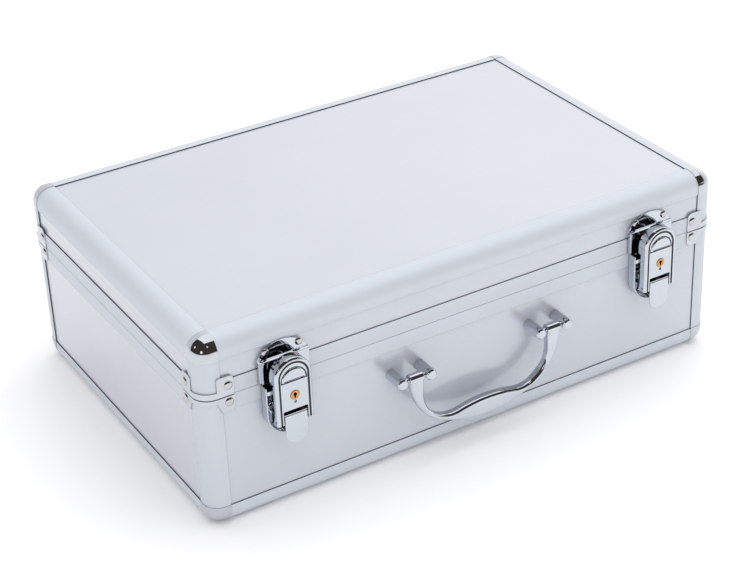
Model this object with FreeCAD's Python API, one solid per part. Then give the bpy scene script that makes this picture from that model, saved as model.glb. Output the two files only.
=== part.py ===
import FreeCAD, Part
import math
import os

# Aluminium-framed carrying case, lying on its large bottom face.
# Millimetres. +X along the length, the latches and the handle face -Y, +Z up.
# The origin is under the middle of the whole object, on the plane that the bottom rails rest on.

os.makedirs("parts", exist_ok=True)
V = FreeCAD.Vector
X, Y, Z = V(1, 0, 0), V(0, 1, 0), V(0, 0, 1)

# ---- overall sizes -------------------------------------------------------------------------
case_length = 455.0
case_width = 296.0
case_height = 155.8
seam_height = 109.4          # parting plane between base and lid
seam_gap = 0.3               # daylight between the closed rims

# ---- extruded rails and panels -------------------------------------------------------------
rail_leg = 16.5              # each rounded angle rail laps this far over both of its faces
rail_radius = 12.5           # outer rounding of the angle rails
lip_thickness = 1.0          # the panels sit this far below the rails' outer faces
panel_thickness = 3.5
flange_thickness = 1.0       # inner flange behind the panel
flange_leg = 13.0            # inner flange's reach from the outer face
panel_seat = 10.2            # depth of the panel slots, from the outer face
panel_play = 0.3             # end play of a panel in its slots
base_rim_height = 12.1
lid_rim_height = 12.8
base_rim_web = 1.8
lid_rim_web = 5.0
rim_flange_short = 3.0       # the rim's inner flange is this much shorter than its lip
tongue_width = 1.4
tongue_height = 3.0
tongue_depth = 2.4           # from the outer face to the tongue
tongue_play = 0.4

# ---- corner fittings -----------------------------------------------------------------------
ball_proud = 0.5             # ball corners stand proud of the rails
clamp_thickness = 1.0
clamp_length = 26.3          # along each face, from the corner
clamp_ear_start = 12.8
clamp_seam_space = 0.15      # from the rim's edge
upper_ear_height = 16.0
upper_band_height = 5.0
lower_ear_height = 12.2
lower_band_height = 4.4
lower_ear_slant = 2.4
ear_corner_radius = 4.0
clamp_rivet_inset = 21.7     # along the face, from the corner
upper_rivet_height = 8.6     # above the seam
lower_rivet_depth = 5.0      # below the seam

# ---- rivets --------------------------------------------------------------------------------
rivet_shank_radius = 1.5
rivet_head_radius = 3.5
rivet_head_height = 1.3
small_rivet_head_radius = 3.0
hole_play = 0.03             # rivets, screws and fixed pins in their holes
running_play = 0.05          # radial clearance of anything that turns

# ---- lining --------------------------------------------------------------------------------
liner_thickness = 2.0
liner_play = 0.2             # behind the liner
liner_rim_drop = 1.0         # liner edge to the seam

# ---- rear hinges ---------------------------------------------------------------------------
hinge_spacing = 270.0
hinge_width = 50.0
hinge_leaf_thickness = 1.2
base_leaf_height = 22.0
lid_leaf_height = 20.0
knuckle_radius = 3.0
knuckle_middle = 16.4        # length of the lid's knuckle
knuckle_play = 0.3
hinge_axis_out = 3.4         # behind the rear face of the rails
hinge_pin_radius = 1.5
leaf_knuckle_space = 3.6     # the leaves' main plates stop this far from the axis
hinge_rivet_span = 34.0
hinge_near_rivet = 7.4       # rows of rivets, from the seam
hinge_far_rivet = 16.6

# ---- latches -------------------------------------------------------------------------------
latch_inset = 65.2           # from the case's end to the latch's middle
latch_face_out = 16.4        # front of the cover, in front of the rails
latch_sheet = 1.2            # pressed sheet of plates and covers
base_plate_width = 37.0
base_plate_length = 42.5     # from the seam to the rounded bottom
base_plate_wall_out = 8.0
base_plate_seam_space = 0.6
ear_half_space = 10.4        # inner face of the pivot ears, from the latch's middle
ear_half_height = 2.4
lever_pivot_out = 8.0
lever_pivot_below_seam = 25.4
lever_pin_radius = 1.3
link_radius = 6.0            # from the lever's pivot to the cover's pivot
link_angle = 75.0            # degrees outwards from straight down, latch closed
cover_pin_radius = 1.2
lever_half_width = 9.0
lever_hub_radius = 3.2
tab_bottom_below_seam = 47.0
tab_top_below_seam = 23.0
tab_corner_radius = 8.0
cover_width = 30.0
cover_back_out = 8.0
cover_bottom_below_seam = 29.8
cover_arch_above_seam = 8.0  # centre of the arched top
cover_edge_radius = 1.8
cutout_width = 19.6
cutout_top_below_seam = 18.8
emboss_radius = 10.2
emboss_above_seam = 4.9
emboss_height = 0.6
plug_radius = 3.6
plug_below_seam = 7.0
plug_proud = 0.4
plug_length = 6.6
plug_cup_wall = 0.8
cam_length = 6.5
cam_width = 3.4
cam_thickness = 1.0
peep_hole_radius = 0.9
peep_hole_below_seam = 12.5
keeper_width = 40.6
keeper_lap = 1.4             # the keeper's crown laps over the top rail
keeper_ledge_above_seam = 19.7
keeper_ledge_out = 3.5
keeper_seam_space = 0.8
keeper_crown_radius = 24.0
keeper_corner_radius = 6.0
keeper_slot_width = 14.0
keeper_slot_height = 4.5
keeper_slot_above_seam = 8.0
claw_width = 11.0
claw_space = 0.6             # claw tip to the keeper's face
keeper_rivet_span = 26.7
keeper_rivet_above_seam = 24.8
upper_plate_rivet_span = 27.2
upper_plate_rivet_below_seam = 18.8
lower_plate_rivet_span = 15.0
lower_plate_rivet_below_seam = 35.4

# ---- carrying handle -----------------------------------------------------------------------
handle_height = 77.5         # pivot above the rest plane
post_inner = 49.2            # post centres from the middle of the case
post_outer = 73.9
post_radius = 4.5
post_out = 18.0
post_chamfer = 1.0
handle_pivot_out = 13.3
handle_pin_radius = 2.0
handle_pin_bite = 2.6        # how far each pin enters its posts
bail_thickness = 8.0
bail_leg_inner = 55.5
bail_leg_outer = 67.5
bail_drop = 53.3             # pivot to the lowest point of the grip
bail_bottom_radius = 100.0
bail_corner_radius = 50.0
bail_inner_radius = 25.0
bail_inner_drop = 41.0       # pivot to the finger hollows
bail_hump = 3.6              # rise of the middle of the grip between the hollows
bail_edge_radius = 2.2
screw_radius = 2.0
screw_head_radius = 4.0
screw_head_height = 1.5
screw_depth = 9.0            # into the post
backing_margin = 6.5
backing_height = 13.0
backing_thickness = 1.0
liner_hole_radius = 5.2

# ---- derived places ------------------------------------------------------------------------
rail_depth = lip_thickness + panel_thickness + flange_thickness
front_reach = max(post_out, latch_face_out + emboss_height, handle_pivot_out + bail_thickness / 2)
rear_reach = hinge_axis_out + knuckle_radius
front = -(case_width + rear_reach - front_reach) / 2
rear = front + case_width
left, right = -case_length / 2, case_length / 2
base_rim_top = seam_height - seam_gap / 2
lid_rim_bottom = seam_height + seam_gap / 2
liner_inset = rail_depth + liner_play
latch_places = {"left": left + latch_inset, "right": right - latch_inset}
cover_arch_radius = cover_width / 2


# ---- small helpers -------------------------------------------------------------------------
def box(x0, x1, y0, y1, z0, z1):
    return Part.makeBox(x1 - x0, y1 - y0, z1 - z0, V(x0, y0, z0))


def cylinder(at, along, radius, length):
    return Part.makeCylinder(radius, length, at, along)


def outline_face(at, u, v, start, *moves):
    """Face in the plane of u and v. A move is (a, b), a line, or (a, b, c, d), an arc through (a, b)."""
    def place(a, b):
        return at + u * a + v * b
    edges = []
    here = start
    for move in moves + (start,):
        if len(move) == 2:
            edges.append(Part.LineSegment(place(*here), place(*move)).toShape())
            here = move
        else:
            edges.append(Part.Arc(place(*here), place(*move[:2]), place(*move[2:])).toShape())
            here = move[2:]
        if here == start:
            break
    return Part.Face(Part.Wire(edges))


def cut_all(shape, tools):
    tools = list(tools)
    return shape.cut(tools) if tools else shape


def joined(shapes):
    shapes = list(shapes)
    return shapes[0].fuse(shapes[1:]).removeSplitter() if len(shapes) > 1 else shapes[0]


def save(node, *solids):
    """Write one sub-part, a single solid or a group of equal ones."""
    bodies = [body for shape in solids for body in shape.Solids]
    for body in bodies:
        assert body.isValid() and body.Volume > 0, node
    whole = bodies[0] if len(bodies) == 1 else Part.makeCompound(bodies)
    whole.exportStep("parts/%s.step" % node)


# ---- rivets: (point on the outer face, outward direction, grip behind the face) -------------
def rivet(at, out, grip, head_radius=rivet_head_radius):
    cap_radius = (head_radius ** 2 + rivet_head_height ** 2) / (2 * rivet_head_height)
    ball = Part.makeSphere(cap_radius, at + out * (rivet_head_height - cap_radius))
    head = ball.common(cylinder(at, out, head_radius + 1, rivet_head_height + 1))
    return joined([head, cylinder(at - out * grip, out, rivet_shank_radius, grip + 0.2)])


def rivet_hole(at, out):
    return cylinder(at - out * 20, out, rivet_shank_radius + hole_play, 40)


faces = {"front": (V(0, front, 0), X, -Y), "rear": (V(0, rear, 0), X, Y),
         "left": (V(left, 0, 0), Y, -X), "right": (V(right, 0, 0), Y, X)}


def clamp_rivets(height):
    """Corner clamp rivets: one on each face beside every corner, at this height."""
    spots = []
    for x, y in ((left, front), (right, front), (left, rear), (right, rear)):
        inward_x, inward_y = -math.copysign(1, x), (1 if y == front else -1)
        spots.append((V(x + inward_x * clamp_rivet_inset, y - inward_y * clamp_thickness, height),
                      -Y * inward_y))
        spots.append((V(x - inward_x * clamp_thickness, y + inward_y * clamp_rivet_inset, height),
                      -X * inward_x))
    return spots


def hinge_rivets(near, far):
    return [(V(side * hinge_spacing / 2 + step, rear + hinge_leaf_thickness, height), Y)
            for side in (-1, 1) for step in (-hinge_rivet_span / 2, hinge_rivet_span / 2)
            for height in (near, far)]


def latch_rivets(spans_and_heights, out):
    return [(V(x + side * span / 2, front - out, height), -Y)
            for x in latch_places.values() for span, height in spans_and_heights for side in (-1, 1)]


base_clamp_spots = clamp_rivets(seam_height - lower_rivet_depth)
lid_clamp_spots = clamp_rivets(seam_height + upper_rivet_height)
base_hinge_spots = hinge_rivets(seam_height - hinge_near_rivet, seam_height - hinge_far_rivet)
lid_hinge_spots = hinge_rivets(seam_height + hinge_near_rivet, seam_height + hinge_far_rivet)
plate_spots = latch_rivets(((upper_plate_rivet_span, seam_height - upper_plate_rivet_below_seam),
                            (lower_plate_rivet_span, seam_height - lower_plate_rivet_below_seam)),
                           latch_sheet)
keeper_spots = latch_rivets(((keeper_rivet_span, seam_height + keeper_rivet_above_seam),), latch_sheet)
base_holes = [rivet_hole(*spot) for spot in base_clamp_spots + base_hinge_spots + plate_spots]
lid_holes = [rivet_hole(*spot) for spot in lid_clamp_spots + lid_hinge_spots + keeper_spots]

post_places = [side * x for side in (-1, 1) for x in (post_inner, post_outer)]
screw_holes = [cylinder(V(x, front - 1, handle_height), Y, screw_radius + hole_play, 12)
               for x in post_places]
base_holes += screw_holes


def save_drilled(node, shape, holes):
    near = [hole for hole in holes if hole.BoundBox.intersect(shape.BoundBox)]
    save(node, cut_all(shape, near))


# ---- rounded angle rails: floor edges, top edges and upright corner posts -------------------
def angle_rail(at, u, v, along, length):
    """Rounded angle with a panel slot in each leg; u and v point inwards from the outer corner."""
    r, mid = rail_radius, rail_radius * (1 - math.sqrt(0.5))
    lip, slot = lip_thickness, lip_thickness + panel_thickness
    profile = outline_face(
        at, u, v, (rail_leg, 0), (r, 0), (mid, mid, 0, r), (0, rail_leg), (lip, rail_leg),
        (lip, panel_seat), (slot, panel_seat), (slot, flange_leg), (rail_depth, flange_leg),
        (rail_depth, rail_depth), (flange_leg, rail_depth), (flange_leg, slot),
        (panel_seat, slot), (panel_seat, lip), (rail_leg, lip))
    return profile.extrude(along * length)


long_run = case_length - 2 * rail_leg
cross_run = case_width - 2 * rail_leg


def edge_rails(height, up):
    """The four horizontal angle rails at one level; up points into the case."""
    a, b = left + rail_leg, front + rail_leg
    return {"front": angle_rail(V(a, front, height), Y, up, X, long_run),
            "rear": angle_rail(V(a, rear, height), -Y, up, X, long_run),
            "left": angle_rail(V(left, b, height), X, up, Y, cross_run),
            "right": angle_rail(V(right, b, height), -X, up, Y, cross_run)}


def corner_posts(bottom, top):
    return [angle_rail(V(x, y, bottom), X if x < 0 else -X, Y if y == front else -Y, Z, top - bottom)
            for x in (left, right) for y in (front, rear)]


for side, rail in edge_rails(0, Z).items():
    save("base_%s_bottom_rail" % side, rail)
for side, rail in edge_rails(case_height, -Z).items():
    save_drilled("lid_%s_top_rail" % side, rail, lid_holes)
save("base_corner_posts", *corner_posts(rail_leg, base_rim_top))
save("lid_corner_posts", *corner_posts(lid_rim_bottom, case_height - rail_leg))


# ---- rim rails: the two frames that meet at the seam ----------------------------------------
def rim_rail(side, lid):
    """Channel over a panel's edge. The base has a tongue that enters a groove in the lid's rim."""
    at, along, out = faces[side]
    run = long_run if side in ("front", "rear") else cross_run
    start = -run / 2 if side in ("front", "rear") else front + rail_leg
    slot = lip_thickness + panel_thickness
    base = V(at.x, at.y, lid_rim_bottom if lid else base_rim_top) + along * start
    if lid:
        height = lid_rim_height - seam_gap / 2
        groove = tongue_depth - tongue_play
        groove_end = tongue_depth + tongue_width + tongue_play
        groove_top = tongue_height + tongue_play
        points = [(0, height), (0, 0), (groove, 0), (groove, groove_top), (groove_end, groove_top),
                  (groove_end, 0), (rail_depth, 0), (rail_depth, height - rim_flange_short),
                  (slot, height - rim_flange_short), (slot, lid_rim_web), (lip_thickness, lid_rim_web),
                  (lip_thickness, height)]
    else:
        height = base_rim_height - seam_gap / 2
        far = tongue_depth + tongue_width
        crest = [(tongue_depth, 0), (tongue_depth, tongue_height), (far, tongue_height), (far, 0)]
        points = [(0, -height), (0, 0)] + (crest if side != "rear" else []) + [
            (rail_depth, 0), (rail_depth, rim_flange_short - height), (slot, rim_flange_short - height),
            (slot, -base_rim_web), (lip_thickness, -base_rim_web), (lip_thickness, -height)]
    return outline_face(base, -out, Z, *points).extrude(along * run)


for side in faces:
    save_drilled("base_%s_rim_rail" % side, rim_rail(side, False), base_holes)
    save_drilled("lid_%s_rim_rail" % side, rim_rail(side, True), lid_holes)


# ---- panels: silver-faced board held in the rails' slots ------------------------------------
edge = panel_seat + panel_play
skin, back = lip_thickness, lip_thickness + panel_thickness


def wall_panel(side, bottom, top):
    if side in ("front", "rear"):
        y0, y1 = (front + skin, front + back) if side == "front" else (rear - back, rear - skin)
        return box(left + edge, right - edge, y0, y1, bottom, top)
    x0, x1 = (left + skin, left + back) if side == "left" else (right - back, right - skin)
    return box(x0, x1, front + edge, rear - edge, bottom, top)


save("base_floor_panel", box(left + edge, right - edge, front + edge, rear - edge, skin, back))
save("lid_top_panel", box(left + edge, right - edge, front + edge, rear - edge,
                          case_height - back, case_height - skin))
for side in faces:
    base_wall = wall_panel(side, edge, base_rim_top - base_rim_web - panel_play)
    lid_wall = wall_panel(side, lid_rim_bottom + lid_rim_web + panel_play, case_height - edge)
    save_drilled("base_%s_panel" % side, base_wall, base_holes)
    save_drilled("lid_%s_panel" % side, lid_wall, lid_holes)


# ---- ball corners: cast corners that close the three rails and take the panels' corners ------
def ball_corner(x, y, lid):
    """Rounded cube corner with slots for three panels, open towards the inside of the case."""
    foot = ball_proud if lid else 0
    size, deep = rail_leg + ball_proud, rail_leg + foot
    block = box(-ball_proud, rail_leg, -ball_proud, rail_leg, -foot, rail_leg)
    corner = V(-ball_proud, -ball_proud, -foot)
    at_corner = [line for line in block.Edges
                 if min((end.Point - corner).Length for end in line.Vertexes) < 1e-6]
    block = block.makeFillet(rail_radius + ball_proud, at_corner)
    far = rail_leg + 1
    slots = [box(panel_seat, far, panel_seat, far, skin, back), box(panel_seat, far, skin, back, panel_seat, far),
             box(skin, back, panel_seat, far, panel_seat, far)]
    block = block.cut(slots + [box(rail_depth, far, rail_depth, far, rail_depth, far)])
    matrix = FreeCAD.Matrix()
    matrix.scale(1 if x < 0 else -1, 1 if y == front else -1, -1 if lid else 1)
    shape = block.transformGeometry(matrix) if matrix.determinant() < 0 else block.transformShape(matrix, True)
    shape.translate(V(x, y, case_height if lid else 0))
    return shape


corners = [(x, y) for x in (left, right) for y in (front, rear)]
save("base_ball_corners", *[ball_corner(x, y, False) for x, y in corners])
save("lid_ball_corners", *[ball_corner(x, y, True) for x, y in corners])


# ---- corner clamps: straps over the posts' ends, riveted to the rims -------------------------
def corner_clamp(x, y, lid):
    """Strap round one corner with an ear on each face; height runs away from the seam."""
    t, r, mid = clamp_thickness, rail_radius, rail_radius * (1 - math.sqrt(0.5))
    outer_mid = mid - t * math.sqrt(0.5)
    ear, band = ((upper_ear_height, upper_band_height) if lid else (lower_ear_height, lower_band_height))
    slant = 0 if lid else lower_ear_slant
    strap = outline_face(V(0, 0, 0), X, Y, (clamp_length - 1, 0), (r, 0), (mid, mid, 0, r),
                         (0, clamp_length - 1), (-t, clamp_length - 1), (-t, r),
                         (outer_mid, outer_mid, r, -t), (clamp_length - 1, -t)).extrude(Z * band)
    c, s = ear_corner_radius, ear_corner_radius * (1 - math.sqrt(0.5))

    def ear_plate(along, out):
        return outline_face(V(0, 0, 0), along, Z, (clamp_ear_start, 0), (clamp_length, 0),
                            (clamp_length, ear - c), (clamp_length - s, ear - s, clamp_length - c, ear),
                            (clamp_ear_start + slant, ear)).extrude(out * t)
    shape = joined([strap, ear_plate(X, -Y), ear_plate(Y, -X)])
    height = lid_rim_bottom + clamp_seam_space if lid else base_rim_top - clamp_seam_space
    signs = (1 if x < 0 else -1, 1 if y == front else -1, 1 if lid else -1)
    matrix = FreeCAD.Matrix()
    matrix.scale(*signs)
    shape = shape.transformGeometry(matrix) if matrix.determinant() < 0 else shape.transformShape(matrix, True)
    shape.translate(V(x, y, height))
    return shape


for node, lid, spots in (("base", False, base_clamp_spots), ("lid", True, lid_clamp_spots)):
    drills = [rivet_hole(*spot) for spot in spots]
    save("%s_corner_clamps" % node, *[cut_all(corner_clamp(x, y, lid), drills) for x, y in corners])
    grip = rail_depth + clamp_thickness - 0.1
    save("%s_clamp_rivets" % node, *[rivet(at, out, grip) for at, out in spots])


# ---- lining: one tray in the base and one in the lid ------------------------------------------
def liner(bottom, top, open_up):
    inset, wall = liner_inset, liner_thickness
    outer = box(left + inset, right - inset, front + inset, rear - inset, bottom, top)
    low, high = (bottom + wall, top + 1) if open_up else (bottom - 1, top - wall)
    return outer.cut(box(left + inset + wall, right - inset - wall, front + inset + wall,
                         rear - inset - wall, low, high))


screw_windows = [cylinder(V(x, front + liner_inset - 1, handle_height), Y, liner_hole_radius,
                          liner_thickness + 2) for x in post_places]
save("base_liner", liner(liner_inset, seam_height - liner_rim_drop, True).cut(screw_windows))
save("lid_liner", liner(seam_height + liner_rim_drop, case_height - liner_inset, False))


# ---- rear hinges -------------------------------------------------------------------------------
axis_y = rear + hinge_axis_out


def hinge_leaf(middle, lid):
    """Leaf on the rear face with its knuckles round the hinge axis."""
    sign = 1 if lid else -1
    half, third = hinge_width / 2, knuckle_middle / 2
    rim = lid_rim_height if lid else base_rim_height
    length = lid_leaf_height if lid else base_leaf_height

    def plate(x0, x1, y_from, near, far):
        low, high = sorted((seam_height + sign * near, seam_height + sign * far))
        return box(middle + x0, middle + x1, y_from, rear + hinge_leaf_thickness, low, high)
    if lid:
        spans = [(-third, third)]
    else:
        spans = [(-half, -third - knuckle_play), (third + knuckle_play, half)]
    parts = [plate(-half, half, rear, leaf_knuckle_space, length),
             plate(-half, half, rear - lip_thickness, rim + panel_play, length)]
    for x0, x1 in spans:
        parts.append(plate(x0, x1, rear, 0.6, leaf_knuckle_space + 1))
        parts.append(cylinder(V(middle + x0, axis_y, seam_height), X, knuckle_radius, x1 - x0))
    bore = hinge_pin_radius + (running_play if lid else hole_play)
    pin_hole = cylinder(V(middle - half - 1, axis_y, seam_height), X, bore, hinge_width + 2)
    spots = lid_hinge_spots if lid else base_hinge_spots
    return joined(parts).cut([pin_hole] + [rivet_hole(*spot) for spot in spots])


hinge_places = (-hinge_spacing / 2, hinge_spacing / 2)
save("hinge_base_leaves", *[hinge_leaf(x, False) for x in hinge_places])
save("hinge_lid_leaves", *[hinge_leaf(x, True) for x in hinge_places])
save("hinge_pins", *[cylinder(V(x - hinge_width / 2, axis_y, seam_height), X, hinge_pin_radius, hinge_width)
                     for x in hinge_places])
for node, spots in (("base", base_hinge_spots), ("lid", lid_hinge_spots)):
    grip = hinge_leaf_thickness + lip_thickness + panel_thickness - 0.1
    save("hinge_%s_rivets" % node, *[rivet(at, out, grip, small_rivet_head_radius) for at, out in spots])


# ---- latches: everything is built round x = 0 and moved to its place ---------------------------
def at_latch(side, shape):
    moved = shape.copy()
    moved.translate(V(latch_places[side], 0, 0))
    return moved


lever_pivot = V(0, front - lever_pivot_out, seam_height - lever_pivot_below_seam)
swing = math.radians(link_angle)
cover_pivot = lever_pivot + V(0, -math.sin(swing), -math.cos(swing)) * link_radius


def base_plate():
    """Tray with a rounded bottom, two pivot ears, and a pad that bridges to the recessed panel."""
    half = base_plate_width / 2
    top = seam_height - base_plate_seam_space
    centre = seam_height - base_plate_length + half

    def tray(width, y, depth):
        return outline_face(V(0, y, 0), X, Z, (-width, top), (-width, centre),
                            (0, centre - width, width, centre), (width, top)).extrude(-Y * depth)
    shell = tray(half, front, base_plate_wall_out)
    shell = shell.cut(tray(half - latch_sheet, front - latch_sheet, base_plate_wall_out)
                      .fuse(box(-half + latch_sheet, half - latch_sheet, front - 20, front - latch_sheet,
                                centre, top + 1)))
    pad = tray(half, front + lip_thickness, lip_thickness)
    pad = pad.cut(box(-half - 1, half + 1, front - 1, front + 2, seam_height - base_rim_height - panel_play,
                      seam_height))
    parts = [shell, pad]
    for side in (-1, 1):
        x0 = side * ear_half_space if side > 0 else -ear_half_space - latch_sheet
        z, h = lever_pivot.z, ear_half_height
        ear = box(x0, x0 + latch_sheet, lever_pivot.y, front - latch_sheet / 2, z - h, z + h)
        parts += [ear, cylinder(V(x0, lever_pivot.y, z), X, h, latch_sheet)]
    plate = joined(parts)
    reach = ear_half_space + latch_sheet
    pin_hole = cylinder(lever_pivot - X * (reach + 1), X, lever_pin_radius + hole_play, 2 * reach + 2)
    return plate.cut(pin_hole)


def keeper():
    """Plate with an arched top; its lower half is pressed out and ends in a ledge, with a claw slot."""
    half, low = keeper_width / 2, seam_height + keeper_seam_space
    top, ledge = case_height - rail_leg + keeper_lap, seam_height + keeper_ledge_above_seam
    crown, c = keeper_crown_radius, keeper_corner_radius
    # the small corner arcs run tangent from the straight sides into the crown
    c_x = half - c
    c_z = top - crown + math.sqrt((crown - c) ** 2 - c_x ** 2)
    k = crown / (crown - c)
    touch = (c_x * k, top - crown + (c_z - top + crown) * k)
    turn = math.atan2(touch[1] - c_z, touch[0] - c_x) / 2
    bend = (c_x + c * math.cos(turn), c_z + c * math.sin(turn))
    rim_top = seam_height + lid_rim_height + panel_play
    lip_bottom = case_height - rail_leg - panel_play

    def plate(bottom, y, depth):
        return outline_face(V(0, y, 0), X, Z, (-half, bottom), (-half, c_z),
                            (-bend[0], bend[1], -touch[0], touch[1]), (0, top, touch[0], touch[1]),
                            (bend[0], bend[1], half, c_z), (half, bottom)).extrude(-Y * depth)
    shape = plate(low, front, latch_sheet)
    raised = box(-half, half, front - keeper_ledge_out, front, low, ledge)
    hollow = box(-half + latch_sheet, half - latch_sheet, front - keeper_ledge_out + latch_sheet,
                 front + 1, low - 1, ledge - latch_sheet)
    pad = plate(rim_top, front + lip_thickness, lip_thickness)
    pad = pad.common(box(-half, half, front - 1, front + 2, ledge - latch_sheet, lip_bottom))
    slot = box(-keeper_slot_width / 2, keeper_slot_width / 2, front - 10, front,
               seam_height + keeper_slot_above_seam, seam_height + keeper_slot_above_seam + keeper_slot_height)
    return joined([shape, raised]).cut([hollow, slot]).fuse(pad).removeSplitter()


def lever():
    """Finger tab on a hub that turns on the base plate's pin and carries the cover's pin."""
    half, y_out = lever_half_width, front - latch_face_out
    bottom, top = seam_height - tab_bottom_below_seam, seam_height - tab_top_below_seam
    c = tab_corner_radius
    s = c * (1 - math.sqrt(0.5))
    tab = outline_face(V(0, y_out + latch_sheet, 0), X, Z, (-half, top), (-half, bottom + c),
                       (-half + s, bottom + s, -half + c, bottom), (half - c, bottom),
                       (half - s, bottom + s, half, bottom + c), (half, top)).extrude(-Y * latch_sheet)
    hub = cylinder(lever_pivot - X * half, X, lever_hub_radius, 2 * half)
    low = cover_pivot.z - cover_pin_radius - latch_sheet
    arm = box(-half, half, y_out + latch_sheet / 2, lever_pivot.y, low, lever_pivot.z + lever_hub_radius)
    shape = joined([tab, hub, arm])
    return shape.cut([cylinder(lever_pivot - X * 20, X, lever_pin_radius + running_play, 40),
                      cylinder(cover_pivot - X * 20, X, cover_pin_radius + running_play, 40)])


def cover():
    """Arched channel with a cut-out for the tab, a pressed half-round, a lock cup and a claw."""
    centre = seam_height + cover_arch_above_seam
    bottom = seam_height - cover_bottom_below_seam
    y_back, y_face = front - cover_back_out, front - latch_face_out

    def arch(radius, low, y, depth):
        return outline_face(V(0, y, 0), X, Z, (-radius, low), (-radius, centre), (0, centre + radius,
                            radius, centre), (radius, low)).extrude(-Y * depth)
    shell = arch(cover_arch_radius, bottom, y_back, y_back - y_face)
    rim = [line for line in shell.Edges if all(abs(end.Point.y - y_face) < 1e-6 for end in line.Vertexes)
           and not all(abs(end.Point.z - bottom) < 1e-6 for end in line.Vertexes)]
    shell = shell.makeFillet(cover_edge_radius, rim)
    shell = shell.cut(arch(cover_arch_radius - latch_sheet, bottom - 1, y_back + 1,
                           y_back + 1 - y_face - latch_sheet))
    half_round = emboss_radius
    shelf = seam_height + emboss_above_seam
    raised = outline_face(V(0, y_face + latch_sheet / 2, 0), X, Z, (-half_round, shelf),
                          (0, shelf + half_round, half_round, shelf)
                          ).extrude(-Y * (emboss_height + latch_sheet / 2))
    lock = V(0, y_face + latch_sheet, seam_height - plug_below_seam)
    cup = cylinder(lock - Y * latch_sheet / 2, Y, plug_radius + plug_cup_wall, plug_length - plug_proud)
    claw_low = seam_height + keeper_slot_above_seam
    claw_out = front - keeper_ledge_out - claw_space
    claw = box(-claw_width / 2, claw_width / 2, y_face + latch_sheet / 2, claw_out, claw_low + 2.6,
               claw_low + 2.6 + latch_sheet)
    nib = box(-claw_width / 2, claw_width / 2, claw_out - latch_sheet, claw_out, claw_low + 1, claw_low + 3)
    shape = joined([shell, raised, cup, claw, nib])
    half = cutout_width / 2
    cutout = box(-half, half, y_face - 1, y_face + 3, bottom - 1, seam_height - cutout_top_below_seam)
    peep = cylinder(V(0, y_face - 1, seam_height - peep_hole_below_seam), Y, peep_hole_radius,
                    latch_sheet + 1.2)
    bore = cylinder(V(0, y_face - 2, lock.z), Y, plug_radius + running_play, plug_length + 10)
    pin_hole = cylinder(cover_pivot - X * 20, X, cover_pin_radius + hole_play, 40)
    return shape.cut([cutout, peep, bore, pin_hole])


def lock_plug():
    """Brass key cylinder with a keyway, and the steel cam on its inner end."""
    start = V(0, front - latch_face_out - plug_proud, seam_height - plug_below_seam)
    plug = cylinder(start, Y, plug_radius, plug_length + latch_sheet)
    keyway = box(-0.5, 0.5, start.y - 1, start.y + 3, start.z - 2.2, start.z + 2.2)
    inner = start.y + plug_length + latch_sheet
    cam = box(-cam_width / 2, cam_width / 2, inner, inner + cam_thickness, start.z - cam_width / 2,
              start.z + cam_length)
    return joined([plug.cut(keyway), cam])


save("latch_base_plates", *[cut_all(at_latch(side, base_plate()), [rivet_hole(*s) for s in plate_spots])
                            for side in latch_places])
save("latch_keepers", *[cut_all(at_latch(side, keeper()), [rivet_hole(*s) for s in keeper_spots])
                        for side in latch_places])
pin_reach = ear_half_space + latch_sheet + 0.6
save("latch_lever_pins", *[at_latch(side, cylinder(lever_pivot - X * pin_reach, X, lever_pin_radius,
                                                   2 * pin_reach)) for side in latch_places])
for side in latch_places:
    save("latch_%s_lever" % side, at_latch(side, lever()))
    save("latch_%s_cover" % side, at_latch(side, cover()))
    save("latch_%s_cover_pin" % side, at_latch(side, cylinder(cover_pivot - X * cover_arch_radius, X,
                                                              cover_pin_radius, cover_width)))
    save("latch_%s_lock_plug" % side, at_latch(side, lock_plug()))
grip = latch_sheet + lip_thickness + panel_thickness - 0.1
save("latch_base_rivets", *[rivet(at, out, grip, small_rivet_head_radius) for at, out in plate_spots])
save("latch_keeper_rivets", *[rivet(at, out, grip, small_rivet_head_radius) for at, out in keeper_spots])


# ---- carrying handle ---------------------------------------------------------------------------
pivot = V(0, front - handle_pivot_out, handle_height)


def handle_post(x):
    outer_end = front - post_out
    post = cylinder(V(x, outer_end, handle_height), Y, post_radius, post_out + lip_thickness)
    tip = [line for line in post.Edges if len(line.Vertexes) == 1
           and abs(line.Vertexes[0].Point.y - outer_end) < 1e-6]
    post = post.makeChamfer(post_chamfer, tip)
    thread = cylinder(V(x, front + lip_thickness - screw_depth, handle_height), Y,
                      screw_radius + hole_play, screw_depth + 1)
    pins = [pivot_pin(side, hole_play) for side in (-1, 1)]
    return post.cut([thread] + pins)


def pivot_pin(side, play=0.0):
    start = post_inner + post_radius - handle_pin_bite
    end = post_outer - post_radius + handle_pin_bite
    x0 = start if side > 0 else -end
    return cylinder(V(x0, pivot.y, pivot.z), X, handle_pin_radius + play, end - start)


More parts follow.
